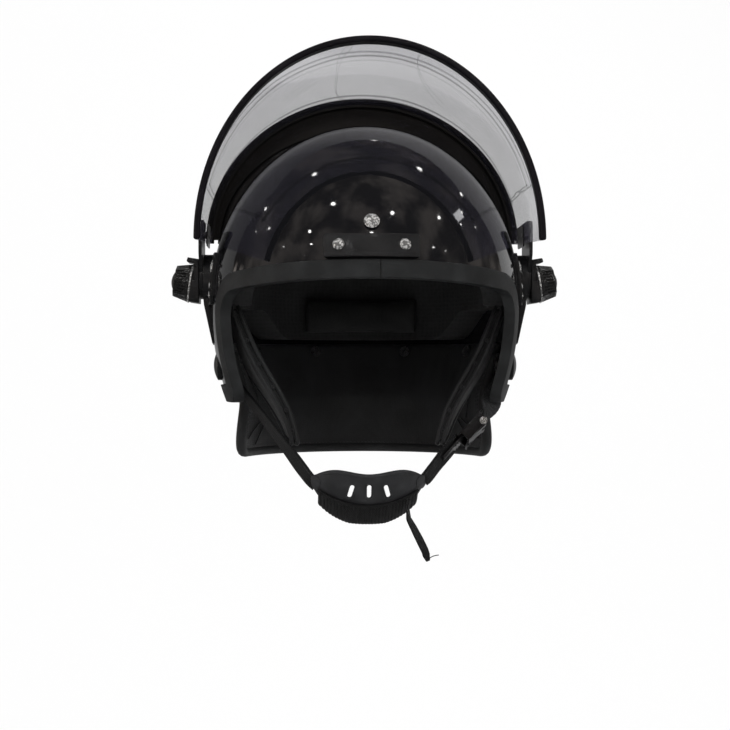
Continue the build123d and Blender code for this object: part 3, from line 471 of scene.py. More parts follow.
def tube(name, points, radius, closed=False, sides=4):
    # round piping, thread or a rim along a smooth line
    curve = bpy.data.curves.new(name, "CURVE")
    curve.dimensions = "3D"
    curve.bevel_depth = radius
    curve.bevel_resolution = sides
    curve.use_fill_caps = not closed
    curve.resolution_u = 5
    spline = curve.splines.new("NURBS")
    spline.points.add(len(points) - 1)
    for control, point in zip(spline.points, points):
        control.co = (*point, 1)
    spline.use_cyclic_u = closed
    spline.order_u = 4
    spline.use_endpoint_u = not closed
    piece = bpy.data.objects.new(name, curve)
    scene.collection.objects.link(piece)
    use(piece)
    bpy.ops.object.convert(target="MESH")
    piece = bpy.context.object
    tidy(piece)
    return rounded(piece)


def laid(name, rows, columns, place, width, length, thick, edge=0.0):
    # a grid laid over place(across, along), given its wall, with UVs in metres
    piece = started(name, bpy.ops.mesh.primitive_grid_add, x_subdivisions=columns, y_subdivisions=rows,
                    size=1, location=(0, 0, 0))
    flat = [(vertex.co.x, vertex.co.y + 0.5) for vertex in piece.data.vertices]
    for vertex, (across, along) in zip(piece.data.vertices, flat):
        vertex.co = place(across, along)
    layer = piece.data.uv_layers.active.data
    for loop in piece.data.loops:
        across, along = flat[loop.vertex_index]
        layer[loop.index].uv = (across * width, along * length)
    apply(piece, "SOLIDIFY", thickness=thick, offset=0.0)
    if edge:
        bevelled(piece, edge, 2, 60)
    edited(piece, bpy.ops.mesh.normals_make_consistent, inside=False)
    smooth(piece, 50)
    return piece


def walked(points, pitch):
    # places and directions at even steps along a line of points
    found = []
    left = pitch / 2
    for start, end in zip(points, points[1:]):
        run = end - start
        while left < run.length:
            found.append((start + run.normalized() * left, run.normalized()))
            left += pitch
        left -= run.length
    return found


stitchSet = {"pitch": 0.0029, "long": 0.0011, "radius": 0.00034}


def stitched(name, lines, body, pitch=stitchSet["pitch"]):
    # one stitch, copied along each line
    piece = started(name, bpy.ops.mesh.primitive_ico_sphere_add, subdivisions=1, radius=1, location=(0, 0, 0))
    radius, long = stitchSet["radius"], stitchSet["long"]
    mesh = bmesh.new()
    for line in lines:
        for place, way in walked([Vector(point) for point in line], pitch):
            first = len(mesh.verts)
            mesh.from_mesh(piece.data)
            mesh.verts.ensure_lookup_table()
            turn = way.to_track_quat("Z", "Y").to_matrix()
            for vertex in mesh.verts[first:]:
                point = vertex.co
                vertex.co = place + turn @ Vector((point.x * radius, point.y * radius, point.z * long))
    mesh.to_mesh(piece.data)
    mesh.free()
    keep(rounded(piece), body, "thread")


clothSet = {"frames": 20, "quality": 4, "quickShare": 0.8}


def blown(piece, pressure, held):
    # where a cloth simulation takes the points of a closed cover that is blown up
    cloth = piece.modifiers.new("cloth", "CLOTH")
    if any(held):
        group = piece.vertex_groups.new(name="pinned")
        group.add([number for number, fixed in enumerate(held) if fixed], 1.0, "REPLACE")
        cloth.settings.vertex_group_mass = "pinned"
    cloth.settings.effector_weights.gravity = 0
    cloth.settings.use_pressure = True
    cloth.settings.uniform_pressure_force = pressure
    cloth.settings.quality = clothSet["quality"]
    cloth.point_cache.frame_start = 1
    cloth.point_cache.frame_end = clothSet["frames"]
    for step in range(1, clothSet["frames"] + 1):
        scene.frame_set(step)
    shape = piece.evaluated_get(bpy.context.evaluated_depsgraph_get()).data
    moved = [vertex.co.copy() for vertex in shape.vertices]
    piece.modifiers.remove(cloth)
    scene.frame_set(1)
    return moved


def swollen(node, name, look):
    # padding in its cover: the solid, remeshed, shrunk a little and blown up again as cloth
    piece = copied(node, name)
    apply(piece, "REMESH", mode="VOXEL", voxel_size=look["voxel"], use_smooth_shade=True)
    apply(piece, "SMOOTH", factor=0.5, iterations=look["round"])
    apply(piece, "DISPLACE", strength=-look["shrink"], mid_level=0.0)
    start = [vertex.co.copy() for vertex in piece.data.vertices]
    faces = [vertex.normal.copy() for vertex in piece.data.vertices]
    pinned, seat = look.get("pinned"), look.get("seat")
    held = [bool(pinned and pinned(point)) for point in start]
    moved = blown(piece, look["pressure"], held)
    for vertex, first, last, face in zip(piece.data.vertices, start, moved, faces):
        step = last - first
        most = look["cap"]
        if seat and face.dot(first - Vector(seat)) > 0:  # its outer side stays on its backing
            most = look["shrink"]
        if step.length > most:
            step = step.normalized() * most
        vertex.co = first + step
    piece.vertex_groups.clear()
    apply(piece, "SMOOTH", factor=0.5, iterations=1)
    apply(piece, "SUBSURF", levels=1, render_levels=1)
    return rounded(piece)


# camera, floor and light

cameraSet = {"azimuth": -2.0, "height": -0.068, "distance": 1.3, "lens": 80.0}


def makeCamera():
    turn = radians(cameraSet["azimuth"])
    place = (sin(turn) * cameraSet["distance"], -cos(turn) * cameraSet["distance"], cameraSet["height"])
    bpy.ops.object.camera_add(location=place, rotation=(pi / 2, 0, turn))
    camera = bpy.context.object
    camera.data.lens = cameraSet["lens"]
    camera.data.sensor_width = 36
    camera.data.sensor_fit = "HORIZONTAL"
    camera.data.clip_start = 0.05
    camera.data.clip_end = 30
    scene.camera = camera


black, white = (0.0, 0.0, 0.0), (1.0, 1.0, 1.0)
studio = {"floor": -1.1, "back": 2.2, "front": -3.5, "side": 6.0, "tall": 4.0, "bend": 0.8, "steps": 12,
          "white": 0.93, "shown": 0.88, "mirrored": 0.42}


def makeStage():
    # a sweep of white paper, which shiny surfaces see dimmer, and dimmest near the object
    bend = studio["bend"]
    points = [(studio["front"], studio["floor"])]
    for step in range(studio["steps"] + 1):
        angle = pi / 2 * step / studio["steps"]
        points.append((studio["back"] - bend + sin(angle) * bend, studio["floor"] + bend - cos(angle) * bend))
    points.append((studio["back"], studio["floor"] + studio["tall"]))
    sweep = started("studioSweep", bpy.ops.mesh.primitive_plane_add, size=1, location=(0, 0, 0))
    mesh = bmesh.new()
    rows = [[mesh.verts.new((side * studio["side"] / 2, y, z)) for side in (-1, 1)] for y, z in points]
    for low, high in zip(rows, rows[1:]):
        mesh.faces.new((low[0], low[1], high[1], high[0]))
    mesh.to_mesh(sweep.data)
    mesh.free()
    rounded(sweep)
    tree = finish("studioPaper", (studio["white"],) * 3, 0.9, Specular_IOR_Level=0.0)
    camera, glossy, through = tree.rays("Camera", "Glossy", "Transmission")
    x, y = tree.axes(tree.place())[:2]
    far = tree.fit(y, 0.7, 1.9, 0.06, studio["mirrored"], True) * tree.fit(x, -1.2, 0.4, 0.35, 1.0)
    shade = tree.blend(glossy, white, tree.blend(far, black, white))
    glow = tree.node("ShaderNodeEmission", None, {"Color": shade, "Strength": 1.0})
    amount = tree.maths("MINIMUM", (camera + through) * studio["shown"] + glossy, 1.0)
    paper = Wire(tree, tree.shader.outputs[0])
    mixed = tree.node("ShaderNodeMixShader", None, {0: amount, 1: paper, 2: glow})
    tree.links.new(mixed.out, tree.nodes["Material Output"].inputs[0])
    sweep.data.materials.append(tree.owner)


room = {"light": 0.55, "wall": (0.42, 0.42, 0.45), "dim": (1.0, 0.9, 0.82), "lamp": (22.0, 21.8, 21.4),
        "lampScale": 1.35, "lampEdge": (0.03, 0.052), "panel": (7.0, 7.0, 7.2), "panelPlace": (1.35, 0.33),
        "panelSize": (0.1, 0.13), "slat": 0.03}


def makeWorld():
    # soft even light; shiny surfaces see dim surroundings with lamps overhead
    world = bpy.data.worlds.new("studioRoom")
    scene.world = world
    tree = Tree(world)
    ground = tree.nodes["Background"]
    way = tree.node("ShaderNodeTexCoord", out="Generated")
    x, y, z = tree.axes(way)
    behind = tree.fit(y, 0.62, 0.86, 0.0, 1.0, True) * tree.fit(x, -0.35, 0.2, 0.2, 1.0)
    ceiling = tree.maths("MAXIMUM", z, 0.02)
    right, back = x / ceiling, y / ceiling
    spot = tree.node("ShaderNodeCombineXYZ", None, {0: right, 1: back, 2: 0.0})
    dots = tree.cells(spot, room["lampScale"], 0.8, "2D")
    lamps = tree.fit(dots, *room["lampEdge"], 1, 0) * tree.fit(z, 0.4, 0.52)
    lamps = lamps * (1 - behind)
    (panelX, panelY), (wide, long) = room["panelPlace"], room["panelSize"]
    panel = tree.near(right, panelX, wide, wide + 0.005) * tree.near(back, panelY, long, long + 0.005)
    slats = tree.fit(tree.maths("PINGPONG", x, room["slat"]), 0.012, 0.015)
    slats = slats * tree.fit(z, -0.2, -0.1) * tree.fit(z, 0.22, 0.18) * tree.fit(x, -0.5, -0.6)
    haze = tree.fit(tree.noise(way, 2.6, 3), 0.42, 0.66, 0.03, 0.26, True)
    bright = tree.blend(panel, tree.blend(lamps, black, room["lamp"]), room["panel"])
    dim = tree.blend(haze + slats * 0.5, black, room["dim"])
    mirror = tree.blend(behind, tree.blend(1.0, bright, dim, "ADD"), room["wall"])
    glossy, camera, through = tree.rays("Glossy", "Camera", "Transmission")
    tree.put(ground.inputs["Color"], tree.blend(glossy, white, mirror))
    shown = tree.maths("MINIMUM", camera + glossy + through, 1.0)
    tree.put(ground.inputs["Strength"], room["light"] + shown * (1 - room["light"]))


def makeLamp(name, place, size, power):
    bpy.ops.object.light_add(type="AREA", location=place)
    lamp = bpy.context.object
    lamp.name = name
    lamp.data.shape = "DISK"
    lamp.data.size = size
    lamp.data.energy = power
    lamp.visible_glossy = False
    lamp.rotation_euler = (Vector((0, 0, -0.05)) - Vector(place)).to_track_quat("-Z", "Y").to_euler()


makeCamera()
makeStage()
makeWorld()
makeLamp("keyLamp", (-1.1, -1.9, 1.7), 1.4, 42)
makeLamp("fillLamp", (1.7, -1.3, 0.7), 1.6, 18)
makeLamp("backLamp", (0.4, 1.3, 1.6), 1.2, 20)
scene.view_settings.view_transform = "Standard"
print("camera, floor and light set")


# rim, brow plate, pivots, knobs and buckle: finish, edge radius and its segments

fittings = [
    (["edge_trim"], "trim", 0.0018, 4),
    (["brow_plate"], "plastic", 0.0007, 3),
    (pairs("pivot_base"), "plastic", 0.0005, 2),
    (pairs("knob"), "knob", 0.0004, 2),
    (pairs("pivot_housing"), "plastic", 0.0005, 2),
    (pairs("knob_washer"), "chrome", 0.0003, 2),
    (["buckle_frame", "buckle_lever"], "buckle", 0.0004, 2),
    (["toothed_tongue"], "plastic", 0.0002, 1),
]
for names, key, width, segments in fittings:
    for node in names:
        softened(node, key, width, segments)
print("moulded edges made")


# strip along the rim of the visor

stripSet = {"side": 0.1282, "base": 0.0235, "rise": 0.1485, "front": -0.1168, "back": -0.1068,
            "thick": 0.0047, "wall": 0.003, "edge": 0.0016, "lensFront": -0.115, "lensLong": 0.185,
            "widens": 0.001, "sinks": 0.03, "lifts": 0.0105}


def makeRimStrip():
    def place(share, along):
        angle = pi * along
        y = stripSet["front"] + (stripSet["back"] - stripSet["front"]) * (share + 0.5)
        way = (y - stripSet["lensFront"]) / stripSet["lensLong"]
        side = stripSet["side"] + way * stripSet["widens"] - stripSet["wall"] / 2
        rise = stripSet["rise"] - way * stripSet["sinks"] - stripSet["wall"] / 2
        return (cos(angle) * side, y, stripSet["base"] + way * stripSet["lifts"] + sin(angle) * rise)

    piece = laid("rimStrip", 120, 3, place, width=0.01, length=0.43, thick=stripSet["thick"])
    tidy(piece)
    bevelled(piece, stripSet["edge"], 3, 50)
    smooth(piece, 55)
    keep(piece, bodyOf["visor_edge_strip"], "strip", "visor_edge_strip")


makeRimStrip()
print("rim strip made")


# soft lip of the visor's gasket, towards the shell

lipSet = {"side": 0.1215, "rise": 0.0985, "base": 0.034, "back": 0.0716, "wide": 0.0105, "thick": 0.0012,
          "curl": 0.0035, "bead": 0.0011}


def makeGasketLip():
    def place(share, along):
        angle = pi * along
        out = Vector((cos(angle) / lipSet["side"], 0, sin(angle) / lipSet["rise"])).normalized()
        inwards = (share + 0.5) * lipSet["wide"]
        return Vector((cos(angle) * lipSet["side"], lipSet["back"] - lipSet["curl"] * (share + 0.5) ** 2,
                       lipSet["base"] + sin(angle) * lipSet["rise"])) - out * inwards

    piece = laid("gasketLip", 96, 5, place, width=0.01, length=0.35, thick=lipSet["thick"])
    keep(piece, bodyOf["visor_gasket"], "gasket")
    bead = [place(0.5, step / 40) for step in range(41)]
    keep(tube("gasketBead", bead, lipSet["bead"]), bodyOf["visor_gasket"], "gasket")


makeGasketLip()
print("gasket lip made")


# chin straps

strapSet = {"width": 0.019, "thick": 0.0018, "anchor": (0.1055, -0.012, -0.068), "plate": 0.0104,
            "cup": (0.0451, -0.060, -0.154), "buckle": (0.080, -0.047, -0.117), "upperEnd": 0.0159,
            "lowerStart": 0.0125, "under": (-0.0016, 0.0004, 0.0013), "behindWay": (0, 0.55, 0.1),
            "ribPitch": 0.0034, "ribRise": 0.0009, "ribRow": 0.0004, "wave": 0.00025, "edge": 0.0004,
            "sewnShares": (-0.4, 0.4), "sewnRuns": ((0.02, 0.16), (0.86, 0.99))}


def strapLine(target):
    # from under the end plate towards a point
    anchor = Vector(strapSet["anchor"])
    down = (Vector((anchor.x, target.y, target.z)) - anchor).normalized()
    return anchor + down * strapSet["plate"]


def makeStrap(name, node, start, end, side=1, ribs=False, twist=0, bulge=0.0, tuck=0.0, lead=0.35,
              narrow=0.0):
    # a straight run that turns a little to the front on its way, its end tucked behind what holds it
    run = end - start
    across = Vector((0, run.z, -run.y)).normalized()
    out = run.cross(across).normalized()
    if out.x < 0:
        out = -out
    front = 1 if across.y > 0 else -1
    count = int(run.length / strapSet["ribPitch"]) - 1

    def place(share, along):
        turned = sin(pi * along ** 1.6) if ribs else min(1.0, max(0.0, along - lead) / (1 - lead) * 1.5)
        turn = radians(twist) * turned
        width = strapSet["width"] * (1 - narrow * max(0.0, (along - 0.75) / 0.25) ** 2)
        flat = across * cos(turn) + out * sin(turn) * front
        face = out * cos(turn) - across * sin(turn) * front
        behind = max(0.0, along * (1 + tuck) - 1)
        point = start + run * along * (1 + tuck) + flat * share * width
        point = point + Vector(strapSet["behindWay"]) * behind * run.length + out * bulge * sin(pi * along)
        if ribs:
            # cross ribs that fade at both edges
            ridge = along * run.length / strapSet["ribPitch"]
            lift = 0.0
            if 0.5 < ridge < count + 0.5:
                lift = strapSet["ribRise"] * max(0.0, sin(2 * pi * (ridge - 0.25))) ** 0.6
            point = point + face * lift * (1 - (2 * share) ** 8)
        else:
            point = point + face * (strapSet["wave"] * sin(along * 9.0 + share * 2))
        return (point.x * side, point.y, point.z)

    rows = int(run.length / strapSet["ribRow"]) if ribs else 36
    piece = laid(name, rows, 8, place, strapSet["width"], run.length, strapSet["thick"],
                 0.0 if ribs else strapSet["edge"])
    # the ribbed strap takes the lighter copy of the ribbed webbing, brightened as painted light against the
    # trim's shade
    keep(piece, bodyOf[node], "ribbedStrap" if ribs else "webbing", node)
    if ribs:
        return
    proud = Vector((out.x * side, out.y, out.z)) * strapSet["thick"] * 0.55
    lines = [[Vector(place(share, low + (high - low) * step / 4)) + proud for step in range(5)]
             for share in strapSet["sewnShares"] for low, high in strapSet["sewnRuns"]]
    stitched(name + "Stitches", lines, bodyOf[node])


cupPoint = Vector(strapSet["cup"])
bucklePoint = Vector(strapSet["buckle"])
towardsCup = (cupPoint - bucklePoint).normalized()
upperEnd = bucklePoint - towardsCup * strapSet["upperEnd"]
lowerStart = bucklePoint + towardsCup * strapSet["lowerStart"] + Vector(strapSet["under"])
makeStrap("strapRight", "strap_right", strapLine(cupPoint), cupPoint, side=-1, twist=12, tuck=0.08,
          narrow=0.2)
makeStrap("strapLeftUpper", "strap_left_upper", strapLine(upperEnd), upperEnd, ribs=True, twist=44,
          bulge=0.0022)
makeStrap("strapLeftLower", "strap_left_lower", lowerStart, cupPoint, twist=21, tuck=0.08, lead=-1.5,
          narrow=0.16)
print("straps made")


# chin cup, its webbing and the loose tail

cupSet = {"centre": (0, -0.0395, -0.135), "radii": (0.051, 0.0575, 0.055), "wall": 0.004, "rim": 0.0019,
          "rimMiddle": (0, -151.6), "rimHalf": ((44, -157.6), (41.5, -154.2), (36, -150.8), (30, -148.7),
                                                (24, -148.1), (17, -148.9), (9, -150.6)),
          "slotLength": 0.010, "slotWidth": 0.0034, "slotLip": 0.000675, "slotSide": 0.0136,
          "slotHeight": -0.1625, "slotLean": 16}


def cupFace(x, z, grow=0.0):
    # the bowl's outside at a place seen from the front
    centre, radii = cupSet["centre"], cupSet["radii"]
    left = 1 - (x / (radii[0] + grow)) ** 2 - ((z - centre[2]) / (radii[2] + grow)) ** 2
    return Vector((x, centre[1] - (radii[1] + grow) * sqrt(max(0.0, left)), z))


cupCorner = {"y": -0.0505, "z": -0.1635, "radius": 0.0105, "far": 0.05, "half": 0.07, "edge": 0.0008}


def makeChinCup():
    # the ends of the cup rounded towards the back
    y, z, radius, far, half, edge = cupCorner.values()
    profile = [(y, z + far), (y + far, z + far), (y + far, z)]
    for step in range(11):
        angle = pi / 2 * step / 10
        profile.append((y + radius * cos(angle), z + radius * sin(angle)))
    cutter = started("cupCutter", bpy.ops.mesh.primitive_plane_add, size=1, location=(0, 0, 0))
    mesh = bmesh.new()
    outline = mesh.faces.new([mesh.verts.new((-half, *place)) for place in profile])
    grown = bmesh.ops.extrude_face_region(mesh, geom=[outline])
    moved = [part for part in grown["geom"] if isinstance(part, bmesh.types.BMVert)]
    bmesh.ops.translate(mesh, verts=moved, vec=(2 * half, 0, 0))
    mesh.to_mesh(cutter.data)
    mesh.free()
    tidy(cutter)
    softened("chin_cup", "cup", edge, 2, cutter)


def makeCupRims():
    half = cupSet["rimHalf"]
    line = [(-x, z) for x, z in half] + [cupSet["rimMiddle"], *reversed(half)]
    points = [cupFace(x / 1000, z / 1000, -cupSet["wall"] * 0.32) for x, z in line]
    keep(tube("cupRim", points, cupSet["rim"]), bodyOf["chin_cup"], "cup")
    half = (cupSet["slotLength"] - cupSet["slotWidth"]) / 2
    bow = cupSet["slotWidth"] / 2 + cupSet["slotLip"]
    for number, side in enumerate((-1, 0, 1)):
        lean = radians(90 + side * cupSet["slotLean"])
        points = []
        for step in range(20):
            angle = 2 * pi * step / 20
            long = half * (1 if cos(angle) > 0 else -1) + bow * cos(angle)
            wide = bow * sin(angle)
            x = side * cupSet["slotSide"] + long * cos(lean) - wide * sin(lean)
            z = cupSet["slotHeight"] + long * sin(lean) + wide * cos(lean)
            points.append(cupFace(x, z, 0.0001))
        keep(tube("slotLip" + str(number + 1), points, cupSet["slotLip"], True), bodyOf["chin_cup"], "cup")


earSet = {"side": 0.0402, "height": -0.1568, "wide": 0.0046, "tall": 0.0054, "thick": 0.0026, "edge": 0.0006}


def makeCupEars():
    # rounded ends of the cup, over the webbing
    for side, word in ((1, "Left"), (-1, "Right")):
        def place(share, along):
            angle = 2 * pi * along
            reach = share + 0.5
            x = (earSet["side"] + earSet["wide"] * reach * cos(angle)) * side
            z = earSet["height"] + earSet["tall"] * reach * sin(angle)
            return cupFace(x, z, -earSet["thick"] * 0.35)

        piece = laid("cupEar" + word, 28, 5, place, width=0.01, length=0.03, thick=earSet["thick"])
        tidy(piece)
        bevelled(piece, earSet["edge"], 2, 50)
        smooth(piece)
        keep(piece, bodyOf["chin_cup"], "cup")


bandSet = {"side": 0.038, "end": -0.163, "top": -0.1745, "under": 0.0543, "gap": 0.0012, "thick": 0.0016,
           "pitch": 0.0025, "rise": 0.0007, "row": 0.0004, "hem": 0.0011}


def makeCupBand():
    # ribbed webbing round the cup, its upper edge an arc
    side, top = bandSet["side"], bandSet["top"]
    sag = bandSet["end"] - top
    arc = (side ** 2 + sag ** 2) / (2 * sag)
    centre, radii = cupSet["centre"], cupSet["radii"]

    def place(share, along):
        x = (along * 2 - 1) * side
        high = top + arc - sqrt(arc ** 2 - x ** 2)
        ridge = abs(sin(pi * x / bandSet["pitch"])) ** 0.6
        grow = bandSet["gap"] + bandSet["rise"] * ridge
        narrow = sqrt(1 - (x / (radii[0] + grow)) ** 2)
        tall, deep = (radii[2] + grow) * narrow, (radii[1] + grow) * narrow
        first = asin(min(1.0, (centre[2] - high) / tall))
        last = asin(min(1.0, bandSet["under"] / tall))
        angle = first + (last - first) * (share + 0.5)
        return (x, centre[1] - deep * cos(angle), centre[2] - tall * sin(angle))

    piece = laid("cupWebbing", int(2 * side / bandSet["row"]), 10, place, width=0.02, length=0.09,
                 thick=bandSet["thick"])
    keep(piece, bodyOf["cup_webbing"], "ribbed", "cup_webbing")
    hem = [place(-0.5, step / 24) for step in range(25)]
    keep(tube("cupHem", hem, bandSet["hem"]), bodyOf["cup_webbing"], "webbing")


tailSet = {"points": ((31, -170), (29.6, -177), (30.2, -184), (34, -191), (38.6, -200), (42.5, -208),
                      (45, -216)),
           "forward": 0.0778, "width": 0.0105, "thick": 0.0011, "edge": 0.0003, "turnStart": 78,
           "turnEnd": 38, "thread": ((0, 0.001), (0.0015, 0.0032), (0.0045, 0.0044), (0.008, 0.0046)),
           "threadRadius": 0.00035}


def makeTail():
    line = [Vector((x / 1000, -tailSet["forward"], z / 1000)) for x, z in tailSet["points"]]

    def place(share, along):
        spot = along * (len(line) - 1)
        low = min(int(spot), len(line) - 2)
        point = line[low].lerp(line[low + 1], spot - low)
        way = (line[low + 1] - line[low]).normalized()
        turn = radians(tailSet["turnStart"] + (tailSet["turnEnd"] - tailSet["turnStart"]) * along ** 1.5)
        flat = Vector((0, 1, 0)) * sin(turn) + Vector((-way.z, 0, way.x)) * cos(turn)
        width = tailSet["width"] * (0.72 + 0.28 * sin(pi * min(1.0, along * 1.15)))
        if along > 0.9:
            width *= 1 - (along - 0.9) * 5.5
        return tuple(point + flat * share * width)

    piece = laid("strapTail", 40, 6, place, tailSet["width"], 0.052, tailSet["thick"], tailSet["edge"])
    keep(piece, bodyOf["strap_tail"], "webbing", "strap_tail")
    thread = [line[-1] + Vector((x, 0.0, z)) for x, z in tailSet["thread"]]
    keep(tube("tailThread", thread, tailSet["threadRadius"], sides=2), bodyOf["strap_tail"], "webbing")


makeChinCup()
makeCupRims()
makeCupEars()
makeCupBand()
makeTail()
print("chin cup finished")


# cheek pads: five sections from the top down, in mm and degrees

cheekSet = {"heights": (-22.4, -52, -78, -104, -127), "sides": (98.5, 86.5, 74.2, 61.6, 53.0),
            "fronts": (50, 53, 55.5, 58, 59), "lengths": (46, 52, 50, 38, 17), "walls": (8, 9, 10, 8.6, 6.8),
            "turns": (8, 10, 12, 12, 12), "inset": 1.2, "piping": 0.0016, "plump": 0.0042,
            "plumpHeight": -0.098, "plumpReach": 0.026, "holes": 5, "holeStart": 0.9, "holeStep": 0.68,
            "holeRadius": 0.0011, "holeWire": 0.0004}
cheekLook = {"voxel": 0.003, "shrink": 0.0009, "pressure": 4, "cap": 0.0014, "round": 3}


def cheekPoint(step, across, back, side):
    # a place in one section of the pad: across its wall and back from its front edge, in mm
    turn = radians(-cheekSet["turns"][step])
    x = cheekSet["sides"][step] + across * cos(turn) - back * sin(turn)
    y = -cheekSet["fronts"][step] + across * sin(turn) + back * cos(turn)
    return Vector((x * side, y, cheekSet["heights"][step])) / 1000


def plump(point, side):
    # the pad swells inwards in its lower half
    height = (point.z - cheekSet["plumpHeight"]) / cheekSet["plumpReach"]
    reach = cheekSet["plump"] * exp(-height * height)
    return point + Vector((-side * reach, -reach * 0.25, 0))


def cheekAt(level, share, side, back, rear=False):
    # between two sections, back from the front or in from the rear; share 0 is the inner face and 1 the outer
    low = min(int(level), 3)
    ends = []
    for step in (low, low + 1):
        across = cheekSet["inset"] + (cheekSet["walls"][step] - 2 * cheekSet["inset"]) * share
        ends.append(cheekPoint(step, across, cheekSet["lengths"][step] - back if rear else back, side))
    return plump(ends[0].lerp(ends[1], level - low), side)


def makeCheekPad(side, word):
    node = "cheek_pad_" + word.lower()
    pad = swollen(node, "cheekPad" + word, cheekLook)
    for vertex in pad.data.vertices:
        vertex.co = plump(vertex.co, side)
    keep(pad, bodyOf[node], "pad", node)
    inset = cheekSet["inset"]
    for share, name in ((0, "Inner"), (1, "Outer")):
        # piping down the front, round the foot and up the rear
        points = [cheekAt(level / 2, share, side, inset) for level in range(9)]
        points.append(cheekAt(4, share, side, inset + 3.5) - Vector((0, 0, 0.0016)))
        points.append(cheekAt(4, share, side, 4.5, True) - Vector((0, 0, 0.0014)))
        points += [cheekAt(level / 2, share, side, inset, True) for level in range(8, 2, -1)]
        keep(tube("cheekPiping" + name + word, points, cheekSet["piping"]), bodyOf[node], "piping")
        proud = Vector((side * (share - 0.5) * 0.0016, 0, 0))
        seam = [cheekAt(level / 4, share, side, inset + 3.4) + proud for level in range(2, 16)]
        stitched("cheekStitches" + name + word, [seam], bodyOf[node])
    for number in range(cheekSet["holes"]):
        place = cheekAt(cheekSet["holeStart"] + number * cheekSet["holeStep"], 0.5, side, -0.25)
        ring = started("airHole" + word + str(number + 1), bpy.ops.mesh.primitive_torus_add, location=place,
                       rotation=(pi / 2, 0, 0), major_radius=cheekSet["holeRadius"],
                       minor_radius=cheekSet["holeWire"], major_segments=14, minor_segments=6)
        bpy.ops.object.transform_apply(location=True, rotation=True, scale=True)
        keep(rounded(ring), bodyOf[node], "piping")


makeCheekPad(1, "Left")
makeCheekPad(-1, "Right")
print("cheek pads made")


# neck guard

guardSet = {"levels": ((-0.048, 0.1139, 0.1395), (-0.096, 0.1005, 0.124), (-0.141, 0.106, 0.129)),
            "middle": 0.001, "front": 0.014, "corner": 0.024, "wall": 0.007, "bottom": -0.141,
            "seams": (0, 22, 44, 66), "seamTop": -0.096, "frontSeam": 0.0245,
            "crossSeam": -0.1125, "seamHalf": 0.002, "bind": 0.0058, "binding": 0.0042, "bindingIn": 0.0015,
            "proud": 0.0004, "stitchPitch": 0.0032, "foldRadius": 0.0006,
            "folds": (((0.060, -0.1125), (0.030, -0.128)), ((0.066, -0.1125), (0.050, -0.134)),
                      ((0.030, -0.062), (0.052, -0.1125)))}


def guardX(y, z, inset=0.0):
    # how far to the side the guard's wall lies
    top, mid, low = guardSet["levels"]
    end = top if z > mid[0] else low
    share = (z - mid[0]) / (end[0] - mid[0])
    wide, long = [mid[n] + (end[n] - mid[n]) * share for n in (1, 2)]
    left = 1 - ((y - guardSet["middle"]) / (long - inset)) ** 2
    return (wide - inset) * sqrt(max(0.0, left))


def onGuard(y, z, inset, side):
    return Vector((guardX(y, z, inset) * side, y, z))


def guardEdge(inwards, inset, side):
    # the guard's front and lower edge on one side, moved inwards by some length
    middle, front, corner, bottom = [guardSet[key] for key in ("middle", "front", "corner", "bottom")]
    places = [(front + inwards, z / 1000) for z in range(-58, -117, -7)]
    bow = corner - inwards
    for step in range(7):
        angle = pi + pi / 2 * step / 6
        places.append((front + corner + bow * cos(angle), bottom + corner + bow * sin(angle)))
    long = guardSet["levels"][2][2] - inset
    first = asin((front + corner - middle) / long)
    for step in range(1, 22):
        angle = first + (pi / 2 - first) * step / 21
        places.append((middle + long * sin(angle), bottom + inwards))
    return [onGuard(y, z, inset, side) for y, z in places]


def onGuardSeam(point):
    # held while the guard is blown up: its edges, the quilting seams and the two seams at each front
    x, y, z = abs(point.x), point.y - guardSet["middle"], point.z
    if point.y < guardSet["front"] + 0.007 or z < guardSet["bottom"] + 0.006 or z > -0.056:
        return True
    if z < guardSet["seamTop"] + guardSet["seamHalf"]:
        for seam in guardSet["seams"]:
            away = x * cos(radians(seam)) - y * sin(radians(seam))
            if abs(away) < 0.0022:
                return True
    if abs(point.y - guardSet["frontSeam"]) < guardSet["seamHalf"] and z > guardSet["crossSeam"]:
        return True
    return abs(z - guardSet["crossSeam"]) < guardSet["seamHalf"] and point.y < 0.07


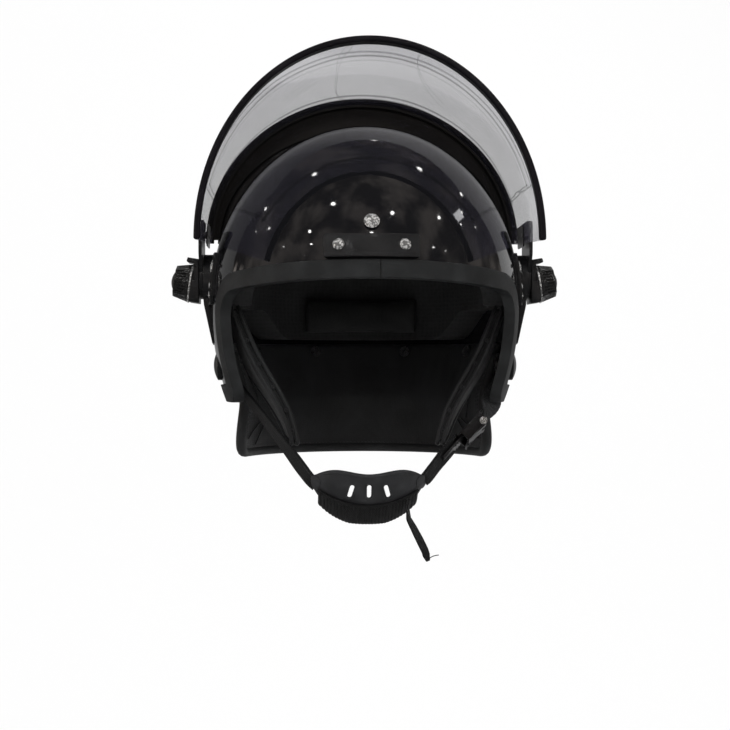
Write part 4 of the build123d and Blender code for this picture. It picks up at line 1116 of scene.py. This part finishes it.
guardLook = {"voxel": 0.0036, "shrink": 0.0008, "pressure": 5, "cap": 0.0026, "round": 2,
             "pinned": onGuardSeam}


def makeNeckGuard():
    body = bodyOf["neck_guard"]
    keep(swollen("neck_guard", "neckGuard", guardLook), body, "guard", "neck_guard")
    edge = guardEdge(guardSet["bindingIn"], guardSet["wall"] / 2, 1)
    line = edge + [Vector((-point.x, point.y, point.z)) for point in reversed(edge[:-1])]
    keep(tube("guardBinding", line, guardSet["binding"], sides=5), body, "binding")
    seam, cross, proud = guardSet["frontSeam"], guardSet["crossSeam"], guardSet["proud"]
    for inset, name in ((-proud, "Outer"), (guardSet["wall"] + proud, "Inner")):
        lines = []
        for side in (-1, 1):
            lines.append(guardEdge(guardSet["bind"], inset, side))
            lines.append([onGuard(seam, z / 1000, inset, side) for z in range(-62, -113, -5)])
            lines.append([onGuard(y / 1000, cross, inset, side) for y in range(24, 72, 4)])
        stitched("guardStitches" + name, lines, body, guardSet["stitchPitch"])
        for number, ends in enumerate(guardSet["folds"]):
            for side, word in ((1, "Left"), (-1, "Right")):
                points = []
                for step in range(9):
                    y, z = [first + (last - first) * step / 8 for first, last in zip(*ends)]
                    points.append(onGuard(y, z, inset, side))
                title = "guardFold" + name + word + str(number + 1)
                keep(tube(title, points, guardSet["foldRadius"], sides=2), body, "piping")


makeNeckGuard()
print("neck guard made")


# comfort pads; a pad faces its seat

padLook = {"voxel": 0.0034, "shrink": 0.0012, "pressure": 4, "cap": 0.0024, "round": 2,
           "seat": (0, 0.001, 0.01)}
padLooks = {
    "brow_pad": {**padLook, "voxel": 0.0032, "pressure": 5, "cap": 0.003, "round": 9},
    "rear_pad": {**padLook, "cap": 0.0026, "round": 7, "seat": (0, 0.001, -0.02)},
    "side_pad_left": padLook,
    "side_pad_right": padLook,
    "crown_pad": {**padLook, "voxel": 0.004, "cap": 0.0026, "seat": (0, 0.001, 0.0)},
}


def makeComfortPads():
    for node, look in padLooks.items():
        keep(swollen(node, camelName(node), look), bodyOf[node], "lining", node)


makeComfortPads()
print("comfort pads made")
